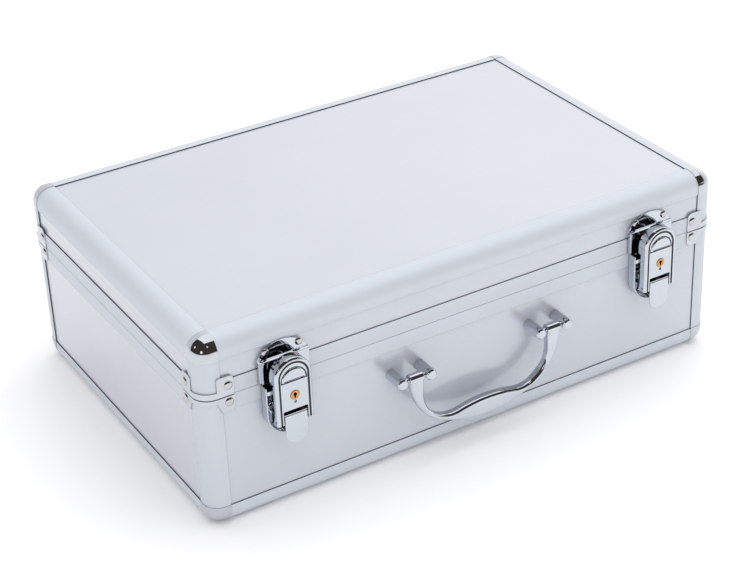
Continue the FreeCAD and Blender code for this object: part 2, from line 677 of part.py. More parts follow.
def bail():
    """Flat bar bent to a loop: curved legs, a bowed underside and a finger grip with a central hump."""
    big, turn, inner = bail_bottom_radius, bail_corner_radius, bail_inner_radius
    x_out, x_in = bail_leg_outer, bail_leg_inner
    # outside: corner arc tangent to the leg and to the bowed underside
    turn_x = x_out - turn
    turn_z = big - bail_drop - math.sqrt((big - turn) ** 2 - turn_x ** 2)
    meet = (turn_x * big / (big - turn), big - bail_drop - (big - bail_drop - turn_z) * big / (big - turn))
    half_way = math.atan2(meet[1] - turn_z, meet[0] - turn_x) / 2
    outer_mid = (turn_x + turn * math.cos(half_way), turn_z + turn * math.sin(half_way))
    # inside: leg to finger hollow, then the hump, tangent to each other
    bend_x, bend_z = x_in - inner, inner - bail_inner_drop
    rise = inner - bail_hump
    hump = (bend_x ** 2 + rise ** 2 - inner ** 2) / (2 * (inner - rise))
    hump_z = bail_hump - bail_inner_drop - hump
    k = inner / (inner + hump)
    join_at = (bend_x * (1 - k), bend_z + (hump_z - bend_z) * k)
    dip = math.atan2(join_at[1] - bend_z, join_at[0] - bend_x) / 2
    dip_mid = (bend_x + inner * math.cos(dip), bend_z + inner * math.sin(dip))
    eye = bail_thickness / 2
    face = outline_face(
        V(0, pivot.y + eye, pivot.z), X, Z, (x_out, 0), (x_out, turn_z), outer_mid + meet,
        (0, -bail_drop, -meet[0], meet[1]), (-outer_mid[0], outer_mid[1], -x_out, turn_z), (-x_out, 0),
        (-x_in, 0), (-x_in, bend_z), (-dip_mid[0], dip_mid[1], -join_at[0], join_at[1]),
        (0, bail_hump - bail_inner_drop, join_at[0], join_at[1]), dip_mid + (x_in, bend_z), (x_in, 0))
    bar = face.extrude(-Y * bail_thickness)
    curved = [line for line in bar.Edges
              if all(abs(abs(end.Point.y - pivot.y) - eye) < 1e-6 for end in line.Vertexes)
              and max(end.Point.z for end in line.Vertexes) < pivot.z - 0.1
              and abs(line.Vertexes[0].Point.y - line.Vertexes[-1].Point.y) < 1e-6
              and line.BoundBox.ZMax < pivot.z - eye]
    bar = bar.makeChamfer(bail_edge_radius, curved)
    eyes = [cylinder(V(x, pivot.y, pivot.z), X, eye, x_out - x_in) for x in (x_in, -x_out)]
    bore = cylinder(V(-x_out - 1, pivot.y, pivot.z), X, handle_pin_radius + running_play, 2 * x_out + 2)
    return joined([bar] + eyes).cut(bore)


def screw(x):
    head_at = front + lip_thickness + panel_thickness + backing_thickness
    head = cylinder(V(x, head_at, handle_height), Y, screw_head_radius, screw_head_height)
    tip = front + lip_thickness - screw_depth + 0.5
    return joined([head, cylinder(V(x, tip, handle_height), Y, screw_radius, head_at - tip + 0.1)])


def backing_plate(side):
    x0, x1 = sorted((side * (post_inner - backing_margin), side * (post_outer + backing_margin)))
    y0 = front + lip_thickness + panel_thickness
    return box(x0, x1, y0, y0 + backing_thickness, handle_height - backing_height / 2,
               handle_height + backing_height / 2).cut(screw_holes)


save("handle_posts", *[handle_post(x) for x in post_places])
save("handle_pivot_pins", pivot_pin(-1), pivot_pin(1))
save("handle_bail", bail())
save("handle_screws", *[screw(x) for x in post_places])
save("handle_backing_plates", backing_plate(-1), backing_plate(1))
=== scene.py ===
import math

import bmesh
import bpy
from mathutils import Matrix, Vector


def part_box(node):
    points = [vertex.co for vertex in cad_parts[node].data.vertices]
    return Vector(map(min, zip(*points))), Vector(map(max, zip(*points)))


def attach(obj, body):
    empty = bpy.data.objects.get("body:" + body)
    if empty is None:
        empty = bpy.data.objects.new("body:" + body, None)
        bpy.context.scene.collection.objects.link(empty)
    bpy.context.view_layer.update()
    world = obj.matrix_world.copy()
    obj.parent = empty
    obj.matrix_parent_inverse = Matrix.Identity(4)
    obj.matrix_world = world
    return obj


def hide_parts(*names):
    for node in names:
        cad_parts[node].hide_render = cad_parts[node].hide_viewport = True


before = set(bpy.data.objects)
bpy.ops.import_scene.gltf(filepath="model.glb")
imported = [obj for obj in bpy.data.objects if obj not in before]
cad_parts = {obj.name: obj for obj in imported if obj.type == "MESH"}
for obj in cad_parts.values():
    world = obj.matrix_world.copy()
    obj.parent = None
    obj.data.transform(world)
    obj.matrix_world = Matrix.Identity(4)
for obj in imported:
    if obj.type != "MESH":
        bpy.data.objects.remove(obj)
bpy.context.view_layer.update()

# ---- Camera --------------------------------------------------------------------------------------
# A long lens stands left of the case, above the lid, and looks down at its front left corner.
# It is turned a little about its own axis, so that the near upright leans as it does in a hand-held view.
azimuth, elevation, roll = (math.radians(angle) for angle in (30.215, 30.248, -2.378))
camera_distance, camera_lens, camera_reach = 1.5465, 91.91, 20
aim = Vector((0, 0.0058, 0.0779))
aim_side, aim_rise = 0.0023, -0.0143


def linked(name, data):
    """A new object in the scene."""
    made = bpy.data.objects.new(name, data)
    bpy.context.scene.collection.objects.link(made)
    return made


back = Vector((-math.sin(azimuth) * math.cos(elevation), -math.cos(azimuth) * math.cos(elevation),
               math.sin(elevation)))
level = Vector((math.cos(azimuth), -math.sin(azimuth), 0))
upright = back.cross(level)
side_axis = level * math.cos(roll) + upright * math.sin(roll)
rise_axis = upright * math.cos(roll) - level * math.sin(roll)
camera = linked("camera", bpy.data.cameras.new("camera"))
stand = aim + back * camera_distance + side_axis * aim_side + rise_axis * aim_rise
camera.matrix_world = Matrix.Translation(stand) @ Matrix((side_axis, rise_axis, back)).transposed().to_4x4()
camera.data.lens, camera.data.clip_end = camera_lens, camera_reach
bpy.context.scene.camera = camera

# ---- Edge rails and corner posts -----------------------------------------------------------------
# Twelve rounded angle extrusions in satin anodised aluminium frame the base and the lid. A lip on each leg laps
# over a panel and a slot behind it holds the panel's edge. The lip's end face is painted near-black as painted
# shade for the shadow gap between lip and panel.
MM, near_enough = 0.001, 1e-6
left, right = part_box("lid_left_top_rail")[0].x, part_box("lid_right_top_rail")[1].x
front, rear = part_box("lid_front_top_rail")[0].y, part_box("lid_rear_top_rail")[1].y
bottom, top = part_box("base_front_bottom_rail")[0].z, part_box("lid_front_top_rail")[1].z
rail_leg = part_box("base_front_bottom_rail")[1].z - bottom
base_rim_top, lid_rim_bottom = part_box("base_corner_posts")[1].z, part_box("lid_corner_posts")[0].z
seam = (base_rim_top + lid_rim_bottom) / 2
rail_radius, lip, lip_round = 12.5 * MM, 1.0 * MM, 0.25 * MM
slot_depth, slot_end, flange_leg, rail_depth = 4.5 * MM, 10.2 * MM, 13.0 * MM, 5.5 * MM
X, Y, Z = Vector((1, 0, 0)), Vector((0, 1, 0)), Vector((0, 0, 1))


class Signal:
    """A number, colour or vector that varies over a surface. Arithmetic on it adds Math nodes."""

    def __init__(self, graph, socket):
        self.graph, self.socket = graph, socket

    def math(self, operation, *others, clamp=False):
        return self.graph.math(operation, self, *others, clamp=clamp)

    def __add__(self, other):
        return self.math("ADD", other)

    __radd__ = __add__

    def __sub__(self, other):
        return self.math("SUBTRACT", other)

    def __rsub__(self, other):
        return self.graph.math("SUBTRACT", other, self)

    def __mul__(self, other):
        return self.math("MULTIPLY", other)

    __rmul__ = __mul__

    def __truediv__(self, other):
        return self.math("DIVIDE", other)

    def __rtruediv__(self, other):
        return self.graph.math("DIVIDE", other, self)

    def __abs__(self):
        return self.math("ABSOLUTE")

    def over(self, start, end):
        """0 below start, 1 above end, smooth between them."""
        return self.graph.node("ShaderNodeMapRange", {"interpolation_type": "SMOOTHSTEP"},
                               {"Value": self, "From Min": start, "From Max": end})

    def limited(self):
        """The same, kept between 0 and 1."""
        return self.math("ADD", 0.0, clamp=True)


class Graph:
    """The node tree of one material or of the world."""

    def __init__(self, tree):
        self.tree = tree

    def node(self, kind, settings=None, sockets=None, out=0):
        made = self.tree.nodes.new(kind)
        for key, value in (settings or {}).items():
            setattr(made, key, value)
        for key, value in (sockets or {}).items():
            if isinstance(value, Signal):
                self.tree.links.new(value.socket, made.inputs[key])
            else:
                made.inputs[key].default_value = value
        return Signal(self, made.outputs[out])

    def math(self, operation, *values, clamp=False):
        return self.node("ShaderNodeMath", {"operation": operation, "use_clamp": clamp}, dict(enumerate(values)))

    def mix(self, share, a, b):
        """Colour a where share is 0 and b where it is 1."""
        a, b = (tuple(c) + (1.0,) if isinstance(c, tuple) and len(c) == 3 else c for c in (a, b))
        return self.node("ShaderNodeMix", {"data_type": "RGBA"}, {0: share, 6: a, 7: b}, 2)

    def place(self, stretch=(1, 1, 1), about=(0, 0, 0)):
        """Object coordinates less a point, stretched along each axis."""
        point = self.node("ShaderNodeTexCoord", out="Object")
        return self.node("ShaderNodeMapping", {"vector_type": "POINT"},
                         {"Vector": point, "Location": tuple(-a * s for a, s in zip(about, stretch)),
                          "Scale": stretch})

    def noise(self, place, scale, detail=3.0, roughness=0.55):
        return self.node("ShaderNodeTexNoise", {"noise_dimensions": "3D"},
                         {"Vector": place, "Scale": scale, "Detail": detail, "Roughness": roughness})

    def axes(self, place):
        split = self.tree.nodes.new("ShaderNodeSeparateXYZ")
        self.tree.links.new(place.socket, split.inputs[0])
        return [Signal(self, out) for out in split.outputs]


def finish_of(name, paint, **constants):
    """A material whose paint(graph) gives its varying inputs by name; Height becomes a Bump node."""
    material = bpy.data.materials.new(name)
    material.use_nodes = True
    shader = material.node_tree.nodes["Principled BSDF"]
    for key, value in constants.items():
        shader.inputs[key.replace("_", " ")].default_value = value
    graph = Graph(material.node_tree)
    varying = paint(graph)
    height = varying.pop("Height", None)
    if height:
        bump = graph.node("ShaderNodeBump", None,
                          {"Height": height[0], "Strength": height[1], "Distance": height[2]})
        varying["Normal"] = bump
    for key, value in varying.items():
        graph.tree.links.new(value.socket, shader.inputs[key])
    return material


def satin_aluminium(axis_name):
    """Anodised extrusion with fine die lines along its run."""
    across, along = 1.0, 0.02
    stretch = tuple(along if axis_name == name else across for name in "xyz")

    def paint(graph):
        lines = graph.noise(graph.place(stretch), 2600, 4.0)
        cloud = graph.noise(graph.place(), 14, 2.0)
        shade = (lines - 0.5) * 0.5 + (cloud - 0.5) * 0.5 + 0.5
        return {"Base Color": graph.mix(shade, (0.55, 0.588, 0.648), (0.62, 0.655, 0.71)),
                "Roughness": (lines - 0.5) * 0.12 + (cloud - 0.5) * 0.08 + 0.54,
                "Height": (lines, 0.10, 0.00005)}
    return finish_of("satin_aluminium_" + axis_name, paint, Metallic=0.22)


# Painted shade: near-black colour for the lips' end faces, standing in for the shadow in the gap between lip and
# panel; the noise only mottles it.
def lip_gap_shade_paint(graph):
    lip_shade = graph.noise(graph.place(), 900, 3.0)
    return {"Base Color": graph.mix(lip_shade, (0.012, 0.018, 0.028), (0.045, 0.055, 0.07)),
            "Roughness": lip_shade * 0.3 + 0.45, "Height": (lip_shade, 0.3, 0.0001)}


satin = {axis: satin_aluminium(axis) for axis in "xyz"}
joint_seal = finish_of("joint_seal", lip_gap_shade_paint, Metallic=0.0)


def arc(start, middle, end, steps):
    """Points from start to end on the circle through middle, without start itself."""
    (ax, ay), (bx, by), (cx, cy) = start, middle, end
    d = 2 * (ax * (by - cy) + bx * (cy - ay) + cx * (ay - by))
    ux = ((ax * ax + ay * ay) * (by - cy) + (bx * bx + by * by) * (cy - ay)
          + (cx * cx + cy * cy) * (ay - by)) / d
    uy = ((ax * ax + ay * ay) * (cx - bx) + (bx * bx + by * by) * (ax - cx)
          + (cx * cx + cy * cy) * (bx - ax)) / d
    radius = math.hypot(ax - ux, ay - uy)
    first, mid, last = (math.atan2(y - uy, x - ux) for x, y in (start, middle, end))
    turn, to_mid = (last - first) % math.tau, (mid - first) % math.tau
    if to_mid > turn:
        turn -= math.tau
    turns = [first + turn * k / steps for k in range(1, steps + 1)]
    return [(ux + radius * math.cos(t), uy + radius * math.sin(t)) for t in turns]


def outline(start, *moves, steps=16):
    """Closed outline. A move is (a, b), a line, or (a, b, c, d), an arc through (a, b) to (c, d)."""
    points = [start]
    for move in moves:
        points += [move] if len(move) == 2 else arc(points[-1], move[:2], move[2:], steps)
    return points[:-1] if math.dist(points[0], points[-1]) < near_enough / 10 else points


def extrude(mesh, points, place, depth, shaded_ends=()):
    """Prism over an outline; place(u, v, w) gives its points. Sides numbered in the last argument get material 1,
    the painted shade of the lip gaps.
    """
    near = [mesh.verts.new(place(u, v, 0)) for u, v in points]
    far = [mesh.verts.new(place(u, v, depth)) for u, v in points]
    mesh.faces.new(near)
    mesh.faces.new(far[::-1])
    for k in range(len(points)):
        n = (k + 1) % len(points)
        side = mesh.faces.new((near[k], far[k], far[n], near[n]))
        side.material_index = 1 if k in shaded_ends else 0


def lead(number, node):
    """The CAD node, for the first of several pieces that stand for it together."""
    return [node] if number == 0 else []


def piece(name, mesh, body, slot, materials, *nodes, crease=30):
    """Turns a bmesh into an object that rides on a body and stands for CAD nodes."""
    bmesh.ops.remove_doubles(mesh, verts=mesh.verts, dist=near_enough)
    bmesh.ops.recalc_face_normals(mesh, faces=mesh.faces)
    data = bpy.data.meshes.new(name)
    mesh.to_mesh(data)
    mesh.free()
    return as_piece(name, data, body, materials, nodes, crease)


def as_piece(name, data, body, materials, nodes, crease):
    """Turns a mesh into such an object; edges sharper than the crease stay sharp in the shading."""
    for material in materials:
        data.materials.append(material)
    data.shade_smooth()
    data.set_sharp_from_angle(angle=math.radians(crease))
    made = linked(name, data)
    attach(made, body)
    if nodes:
        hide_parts(*nodes)
    return made


def corner_cut(radius):
    """How far the middle of a rounded square corner lies in from each of its two sides."""
    return radius * (1 - math.sqrt(0.5))


def angle_section():
    """Section of the rounded angle with its two rounded lips, and the numbers of its lip end faces, which take the
    painted shade of the gap.
    """
    middle, lip_middle = corner_cut(rail_radius), corner_cut(lip_round)
    points = [(rail_leg - lip_round, 0), (rail_radius, 0)]
    points += arc(points[-1], (middle, middle), (0, rail_radius), 20)
    points += [(0, rail_leg - lip_round)]
    points += arc(points[-1], (lip_middle, rail_leg - lip_middle), (lip_round, rail_leg), 3)
    first_end = len(points) - 1
    points += [(lip, rail_leg), (lip, slot_end), (slot_depth, slot_end), (slot_depth, flange_leg),
               (rail_depth, flange_leg), (rail_depth, rail_depth), (flange_leg, rail_depth),
               (flange_leg, slot_depth), (slot_end, slot_depth), (slot_end, lip), (rail_leg, lip)]
    second_end = len(points) - 1
    points += [(rail_leg, lip_round)]
    points += arc(points[-1], (rail_leg - lip_middle, lip_middle), (rail_leg - lip_round, 0), 3)[:-1]
    return points, (first_end, second_end)


def angle_rail(name, body, at, u_axis, v_axis, run_axis, length, axis_name, *nodes):
    mesh = bmesh.new()
    section, shaded_ends = angle_section()
    extrude(mesh, section, lambda u, v, w: at + u_axis * u + v_axis * v + run_axis * w, length, shaded_ends)
    piece(name, mesh, body, "satin_aluminium", [satin[axis_name], joint_seal], *nodes)


long_run, cross_run = right - left - 2 * rail_leg, rear - front - 2 * rail_leg


def sides(height):
    """For each side: its name, its rail's start, the way in, the way along, the length and the axis."""
    start_x, start_y = left + rail_leg, front + rail_leg
    return (("front", Vector((start_x, front, height)), Y, X, long_run, "x"),
            ("rear", Vector((start_x, rear, height)), -Y, X, long_run, "x"),
            ("left", Vector((left, start_y, height)), X, Y, cross_run, "y"),
            ("right", Vector((right, start_y, height)), -X, Y, cross_run, "y"))


for body, level_name, height, up in (("base", "bottom", bottom, Z), ("lid", "top", top, -Z)):
    for side, at, inward, run, length, axis in sides(height):
        node = "%s_%s_%s_rail" % (body, side, level_name)
        angle_rail("skin_" + node, body, at, inward, up, run, length, axis, node)
corners = [(x, y, sx, sy) for x, sx in ((left, 1), (right, -1)) for y, sy in ((front, 1), (rear, -1))]
for body, low, high in (("base", bottom + rail_leg, base_rim_top), ("lid", lid_rim_bottom, top - rail_leg)):
    for number, (x, y, sx, sy) in enumerate(corners):
        angle_rail("%s_post_%d" % (body, number), body, Vector((x, y, low)), X * sx, Y * sy, Z, high - low, "z",
                   *lead(number, body + "_corner_posts"))

# ---- Rim rails -----------------------------------------------------------------------------------
# Eight satin channels close the cut edges of the base's and the lid's walls where the two halves meet.
# The base's rim carries a tongue that enters a groove in the lid's rim; the rear of the base has none.
rim_web = {"base": 1.8 * MM, "lid": 5.0 * MM}
flange_short, rim_round = 3.0 * MM, 0.3 * MM
tongue_at, tongue_width, tongue_height, tongue_play = 2.4 * MM, 1.4 * MM, 3.0 * MM, 0.4 * MM


def rim_section(body, height, tongue):
    """Section in (depth from the outer face, distance from the seam) of one rim rail."""
    web, inner = rim_web[body], height - flange_short
    q = corner_cut(rim_round)
    points = [(0, height - lip_round), (0, rim_round)] + arc((0, rim_round), (q, q), (rim_round, 0), 4)
    if tongue:
        reach, play = tongue_height * (-1 if body == "base" else 1), tongue_play * (body == "lid")
        start, end = tongue_at - play, tongue_at + tongue_width + play
        points += [(start, 0), (start, reach + play), (end, reach + play), (end, 0)]
    points += [(rail_depth, 0), (rail_depth, inner), (slot_depth, inner), (slot_depth, web), (lip, web),
               (lip, height), (lip_round, height)]
    # the lip's end face is numbered to take the painted shade of the gap
    return points, (len(points) - 2,)


for body, height_at, away in (("base", base_rim_top, -Z), ("lid", lid_rim_bottom, Z)):
    for side, at, inward, run, length, axis in sides(height_at):
        node = "%s_%s_rim_rail" % (body, side)
        low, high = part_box(node)
        rim_height = height_at - low.z if body == "base" else high.z - height_at
        section, shaded_ends = rim_section(body, rim_height, body == "lid" or side != "rear")
        mesh = bmesh.new()
        extrude(mesh, section, lambda u, v, w: at + inward * u + away * v + run * w, length, shaded_ends)
        piece("skin_" + node, mesh, body, "satin_aluminium", [satin[axis], joint_seal], node)

# ---- Panels --------------------------------------------------------------------------------------
# Board with a silver laminate face, cut square and held in the rails' slots, so the panels keep their CAD shape.
# The laminate has a fine woven grain, and a thin line along every lip is darkened as painted shade where the lip
# shadows the panel.
lip_shade_width = 0.7 * MM


def silver_board(name, low, high, normal_axis):
    """Laminate for one panel whose visible field lies between low and high."""
    spans = [k for k in range(3) if k != normal_axis]

    def paint(graph):
        place = graph.place()
        parts, edges = graph.axes(place), []
        for k in spans:
            middle, half = (low[k] + high[k]) / 2, (high[k] - low[k]) / 2
            edges.append(abs(parts[k] - middle).over(half - lip_shade_width, half - lip_shade_width * 0.15))
        lip_shade = edges[0].math("MAXIMUM", edges[1])
        long_axis = max(spans, key=lambda k: high[k] - low[k])
        weave = graph.noise(graph.place(tuple(0.12 if k == long_axis else 1.0 for k in range(3))), 1500, 3.0)
        grain, cloud = graph.noise(place, 3200, 2.0), graph.noise(place, 7, 3.0)
        shade = (weave - 0.5) * 0.45 + (grain - 0.5) * 0.35 + (cloud - 0.5) * 0.6 + 0.5
        colour = graph.mix(shade.limited(), (0.515, 0.54, 0.60), (0.595, 0.62, 0.68))
        # the laminate is darkened in a thin line along each lip as painted shade
        return {"Base Color": graph.mix(lip_shade * 0.62, colour, (0.10, 0.115, 0.145)),
                "Roughness": (grain - 0.5) * 0.10 + (cloud - 0.5) * 0.08 + 0.24,
                "Height": (weave * 0.6 + grain * 0.4, 0.16, 0.00005)}
    return finish_of(name, paint, Metallic=0.32, Coat_Weight=0.3, Coat_Roughness=0.12)


def show_cad(node, material):
    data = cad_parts[node].data
    data.materials.clear()
    data.materials.append(material)


field = Vector((rail_leg, rail_leg, 0))
for body, node in (("base", "base_floor_panel"), ("lid", "lid_top_panel")):
    show_cad(node, silver_board("board_" + node, Vector((left, front, 0)) + field,
                                Vector((right, rear, 1)) - field, 2))
for body in ("base", "lid"):
    for side in ("front", "rear", "left", "right"):
        rim_low, rim_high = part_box("%s_%s_rim_rail" % (body, side))
        low_z, high_z = (bottom + rail_leg, rim_low.z) if body == "base" else (rim_high.z, top - rail_leg)
        low = Vector((left + rail_leg, front + rail_leg, low_z))
        high = Vector((right - rail_leg, rear - rail_leg, high_z))
        node = "%s_%s_panel" % (body, side)
        show_cad(node, silver_board("board_" + node, low, high, 1 if side in ("front", "rear") else 0))

# ---- Ball corners --------------------------------------------------------------------------------
# Eight bright plated caps with a rounded outer corner close the ends of three rails each. Each is a
# pressed shell that laps the rails' square ends and stands a little proud of them.
cap_wall, cap_proud = 1.4 * MM, 0.5 * MM
bend_rows, flat_rows = 14, 3


def polished(name, dark, light, base_roughness, smear):
    def paint(graph):
        place = graph.place()
        haze, pits = graph.noise(place, 60, 3.0), graph.noise(place, 2400, 2.0)
        shade = ((haze - 0.5) * 1.2 + 0.5).limited()
        return {"Base Color": graph.mix(shade, dark, light),
                "Roughness": (haze - 0.5) * smear + (pits - 0.5) * 0.03 + base_roughness,
                "Height": (haze * 0.7 + pits * 0.3, 0.03, 0.00004)}
    return finish_of(name, paint, Metallic=1.0)


corner_chrome = polished("corner_chrome", (0.515, 0.54, 0.585), (0.60, 0.625, 0.665), 0.045, 0.04)


def solids(node):
    """Lowest and highest corner of each separate solid in a CAD node, in a steady order."""
    mesh = bmesh.new()
    mesh.from_mesh(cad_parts[node].data)
    bmesh.ops.remove_doubles(mesh, verts=mesh.verts, dist=near_enough)
    left_over, found = set(mesh.verts), []
    while left_over:
        queue = [left_over.pop()]
        group = list(queue)
        while queue:
            for edge in queue.pop().link_edges:
                for vert in edge.verts:
                    if vert in left_over:
                        left_over.remove(vert)
                        queue.append(vert)
                        group.append(vert)
        found.append((Vector(min(v.co[k] for v in group) for k in range(3)),
                      Vector(max(v.co[k] for v in group) for k in range(3))))
    mesh.free()
    return sorted(found, key=lambda pair: tuple(round(c, 5) for c in pair[0]))


def inward_signs(low, high):
    """Which way along x and y the case's middle lies from a corner part."""
    middle = (low + high) / 2
    return 1 if middle.x < (left + right) / 2 else -1, 1 if middle.y < (front + rear) / 2 else -1


def corner_cap(mesh, corner, signs, size, radius):
    """Shell round one corner: outside radius, inside the same surface moved in by the wall."""
    spread = [radius * (1 - math.tan(math.pi / 4 * (1 - k / bend_rows))) for k in range(bend_rows + 1)]
    grid = spread + [radius + (size - radius) * k / flat_rows for k in range(1, flat_rows + 1)]

    def point(a, b, face, thickness):
        flat = [a, b]
        flat.insert(face, 0.0)
        centre = [max(c, radius) for c in flat]
        pull = Vector(flat) - Vector(centre)
        spot = Vector(centre) + pull.normalized() * (radius - thickness)
        return corner + Vector(spot[k] * signs[k] for k in range(3))
    rims = []
    for thickness in (0.0, cap_wall):
        for face in range(3):
            rows = [[mesh.verts.new(point(a, b, face, thickness)) for b in grid] for a in grid]
            for row, following in zip(rows, rows[1:]):
                for k in range(len(grid) - 1):
                    mesh.faces.new((row[k], row[k + 1], following[k + 1], following[k]))
            rims.append([rows[-1], [row[-1] for row in rows]])
    for outer, inner in zip(rims[:3], rims[3:]):
        for outer_edge, inner_edge in zip(outer, inner):
            for k in range(len(grid) - 1):
                mesh.faces.new((outer_edge[k], outer_edge[k + 1], inner_edge[k + 1], inner_edge[k]))


for body in ("base", "lid"):
    for number, (low, high) in enumerate(solids(body + "_ball_corners")):
        signs = (*inward_signs(low, high), 1 if body == "base" else -1)
        corner = Vector(low[k] if signs[k] > 0 else high[k] for k in range(3))
        mesh = bmesh.new()
        corner_cap(mesh, corner, signs, high.x - low.x, rail_radius + cap_proud)
        piece("%s_ball_corner_%d" % (body, number), mesh, body, "corner_chrome", [corner_chrome],
              *lead(number, body + "_ball_corners"), crease=40)

# ---- Corner clamps -------------------------------------------------------------------------------
# A bright pressed strap bends round each post at the seam, one for the lid and one for the base. An ear
# with a rounded corner lies flat on each face and takes one rivet.
clamp_sheet = 1.0 * MM
ear_start, ear_corner, ear_bend = 12.8 * MM, 4.0 * MM, 1.6 * MM
strap_band = {"base": 4.4 * MM, "lid": 5.0 * MM}
ear_slant = {"base": 2.4 * MM, "lid": 0.0}
clamp_edge, band_steps = 0.28 * MM, 18


def round_edges(made, width):
    bevel = made.modifiers.new("edges", "BEVEL")
    bevel.width, bevel.segments, bevel.limit_method = width, 3, "ANGLE"
    bevel.angle_limit, bevel.harden_normals = math.radians(40), True


def clamp_profile(body, length, ear_height):
    """Unrolled strap: the half from the corner's middle to one end, as (distance, height)."""
    ear, round_off, fill_in = ear_start + ear_slant[body], corner_cut(ear_corner), corner_cut(ear_bend)
    return outline((length, 0), (length, ear_height - ear_corner),
                   (length - round_off, ear_height - round_off, length - ear_corner, ear_height),
                   (ear + ear_bend, ear_height),
                   (ear + fill_in, ear_height - fill_in, ear, ear_height - ear_bend),
                   (ear_start, strap_band[body]), (ear_start, 0), steps=8)


def strap_point(corner, sx, sy, distance, lift):
    """Point on the strap, a distance from the sharp corner along x (positive) or y (negative)."""
    reach = abs(distance)
    if reach >= rail_radius:
        flat = (reach, -lift) if distance > 0 else (-lift, reach)
    else:
        turn = math.pi / 4 * (reach / rail_radius)
        angle = math.pi * 1.25 + (turn if distance > 0 else -turn)
        ray = rail_radius + lift
        flat = (rail_radius + ray * math.cos(angle), rail_radius + ray * math.sin(angle))
    return corner + Vector((flat[0] * sx, flat[1] * sy, 0))


for body in ("base", "lid"):
    band, away = strap_band[body], Z if body == "lid" else -Z
    for number, (low, high) in enumerate(solids(body + "_corner_clamps")):
        sx, sy = inward_signs(low, high)
        corner = Vector((left if sx > 0 else right, front if sy > 0 else rear, low.z if body == "lid" else high.z))
        half = clamp_profile(body, high.x - low.x - clamp_sheet, high.z - low.z)
        mesh = bmesh.new()

        def on_strap(distance, lift, height):
            return mesh.verts.new(strap_point(corner, sx, sy, distance, lift) + away * height)
        for direction in (1, -1):
            inner, outer = ([on_strap(d * direction, lift, h) for d, h in half] for lift in (0.0, clamp_sheet))
            mesh.faces.new(inner)
            mesh.faces.new(outer)
            # the band joins on between the outline's last two points
            for k in (*range(len(half) - 2), len(half) - 1):
                n = (k + 1) % len(half)
                mesh.faces.new((inner[k], inner[n], outer[n], outer[k]))
        for k in range(band_steps):
            ring = [[on_strap(ear_start * (1 - 2 * n / band_steps), lift, h)
                     for lift, h in ((0, 0), (clamp_sheet, 0), (clamp_sheet, band), (0, band))] for n in (k, k + 1)]
            for n in range(4):
                mesh.faces.new((ring[0][n], ring[0][(n + 1) % 4], ring[1][(n + 1) % 4], ring[1][n]))
        round_edges(piece("%s_clamp_%d" % (body, number), mesh, body, "corner_chrome", [corner_chrome],
                          *lead(number, body + "_corner_clamps")), clamp_edge)

# ---- Rivets --------------------------------------------------------------------------------------
# Domed steel rivets with a bright nickel finish hold the clamps, hinges and latch plates. The shank goes
# through the sheet and the wall behind it; the head is a low dome that is set down on the sheet.
rivet_head, rivet_shank = 1.3 * MM, 1.5 * MM
rivet_nickel = polished("rivet_nickel", (0.50, 0.49, 0.49), (0.61, 0.60, 0.60), 0.06, 0.05)


def rivet_tree():
    """Sets a domed rivet on every point, along the point's outward direction."""
    tree = bpy.data.node_groups.new("rivet_setting", "GeometryNodeTree")
    tree.interface.new_socket("Geometry", in_out="OUTPUT", socket_type="NodeSocketGeometry")
    tree.interface.new_socket("Spots", in_out="INPUT", socket_type="NodeSocketGeometry")
    for name in ("Head radius", "Head height", "Shank radius", "Shank length"):
        tree.interface.new_socket(name, in_out="INPUT", socket_type="NodeSocketFloat")
    tree.interface.new_socket("Finish", in_out="INPUT", socket_type="NodeSocketMaterial")
    graph = Graph(tree)
    given = tree.nodes.new("NodeGroupInput")
    value = {socket.name: Signal(graph, socket) for socket in given.outputs if socket.name}
    dome = graph.node("GeometryNodeMeshUVSphere", None, {"Segments": 28, "Rings": 18, "Radius": 1.0})
    flat = graph.node("ShaderNodeCombineXYZ", None,
                      {0: value["Head radius"], 1: value["Head radius"], 2: value["Head height"]})
    dome = graph.node("GeometryNodeTransform", None, {"Geometry": dome, "Scale": flat})
    shank = graph.node("GeometryNodeMeshCylinder", None,
                       {"Vertices": 20, "Radius": value["Shank radius"], "Depth": value["Shank length"]})
    down = graph.node("ShaderNodeCombineXYZ", None, {2: value["Shank length"] * -0.5})
    shank = graph.node("GeometryNodeTransform", None, {"Geometry": shank, "Translation": down})
    rivet = tree.nodes.new("GeometryNodeJoinGeometry")
    for part in (shank, dome):
        tree.links.new(part.socket, rivet.inputs[0])
    outward = graph.node("GeometryNodeInputNamedAttribute", {"data_type": "FLOAT_VECTOR"}, {"Name": "outward"})
    turned = graph.node("FunctionNodeAlignRotationToVector", {"axis": "Z"}, {"Vector": outward})
    placed = graph.node("GeometryNodeInstanceOnPoints", None,
                        {"Points": value["Spots"], "Instance": Signal(graph, rivet.outputs[0]),
                         "Rotation": turned})
    real = graph.node("GeometryNodeRealizeInstances", None, {"Geometry": placed})
    done = graph.node("GeometryNodeSetMaterial", None, {"Geometry": real, "Material": value["Finish"]})
    tree.links.new(done.socket, tree.nodes.new("NodeGroupOutput").inputs[0])
    return tree


rivet_setting = rivet_tree()


def settle(made, tree, **inputs):
    """The plain mesh that a Geometry Nodes tree gives on an object, which is then removed."""
    modifier = made.modifiers.new("setting", "NODES")
    modifier.node_group = tree
    for socket in tree.interface.items_tree:
        key = socket.name.replace(" ", "_")
        if socket.in_out == "INPUT" and key in inputs:
            modifier[socket.identifier] = inputs[key]
    graph = bpy.context.evaluated_depsgraph_get()
    data = bpy.data.meshes.new_from_object(made.evaluated_get(graph), depsgraph=graph)
    bpy.data.objects.remove(made)
    data.materials.clear()
    return data


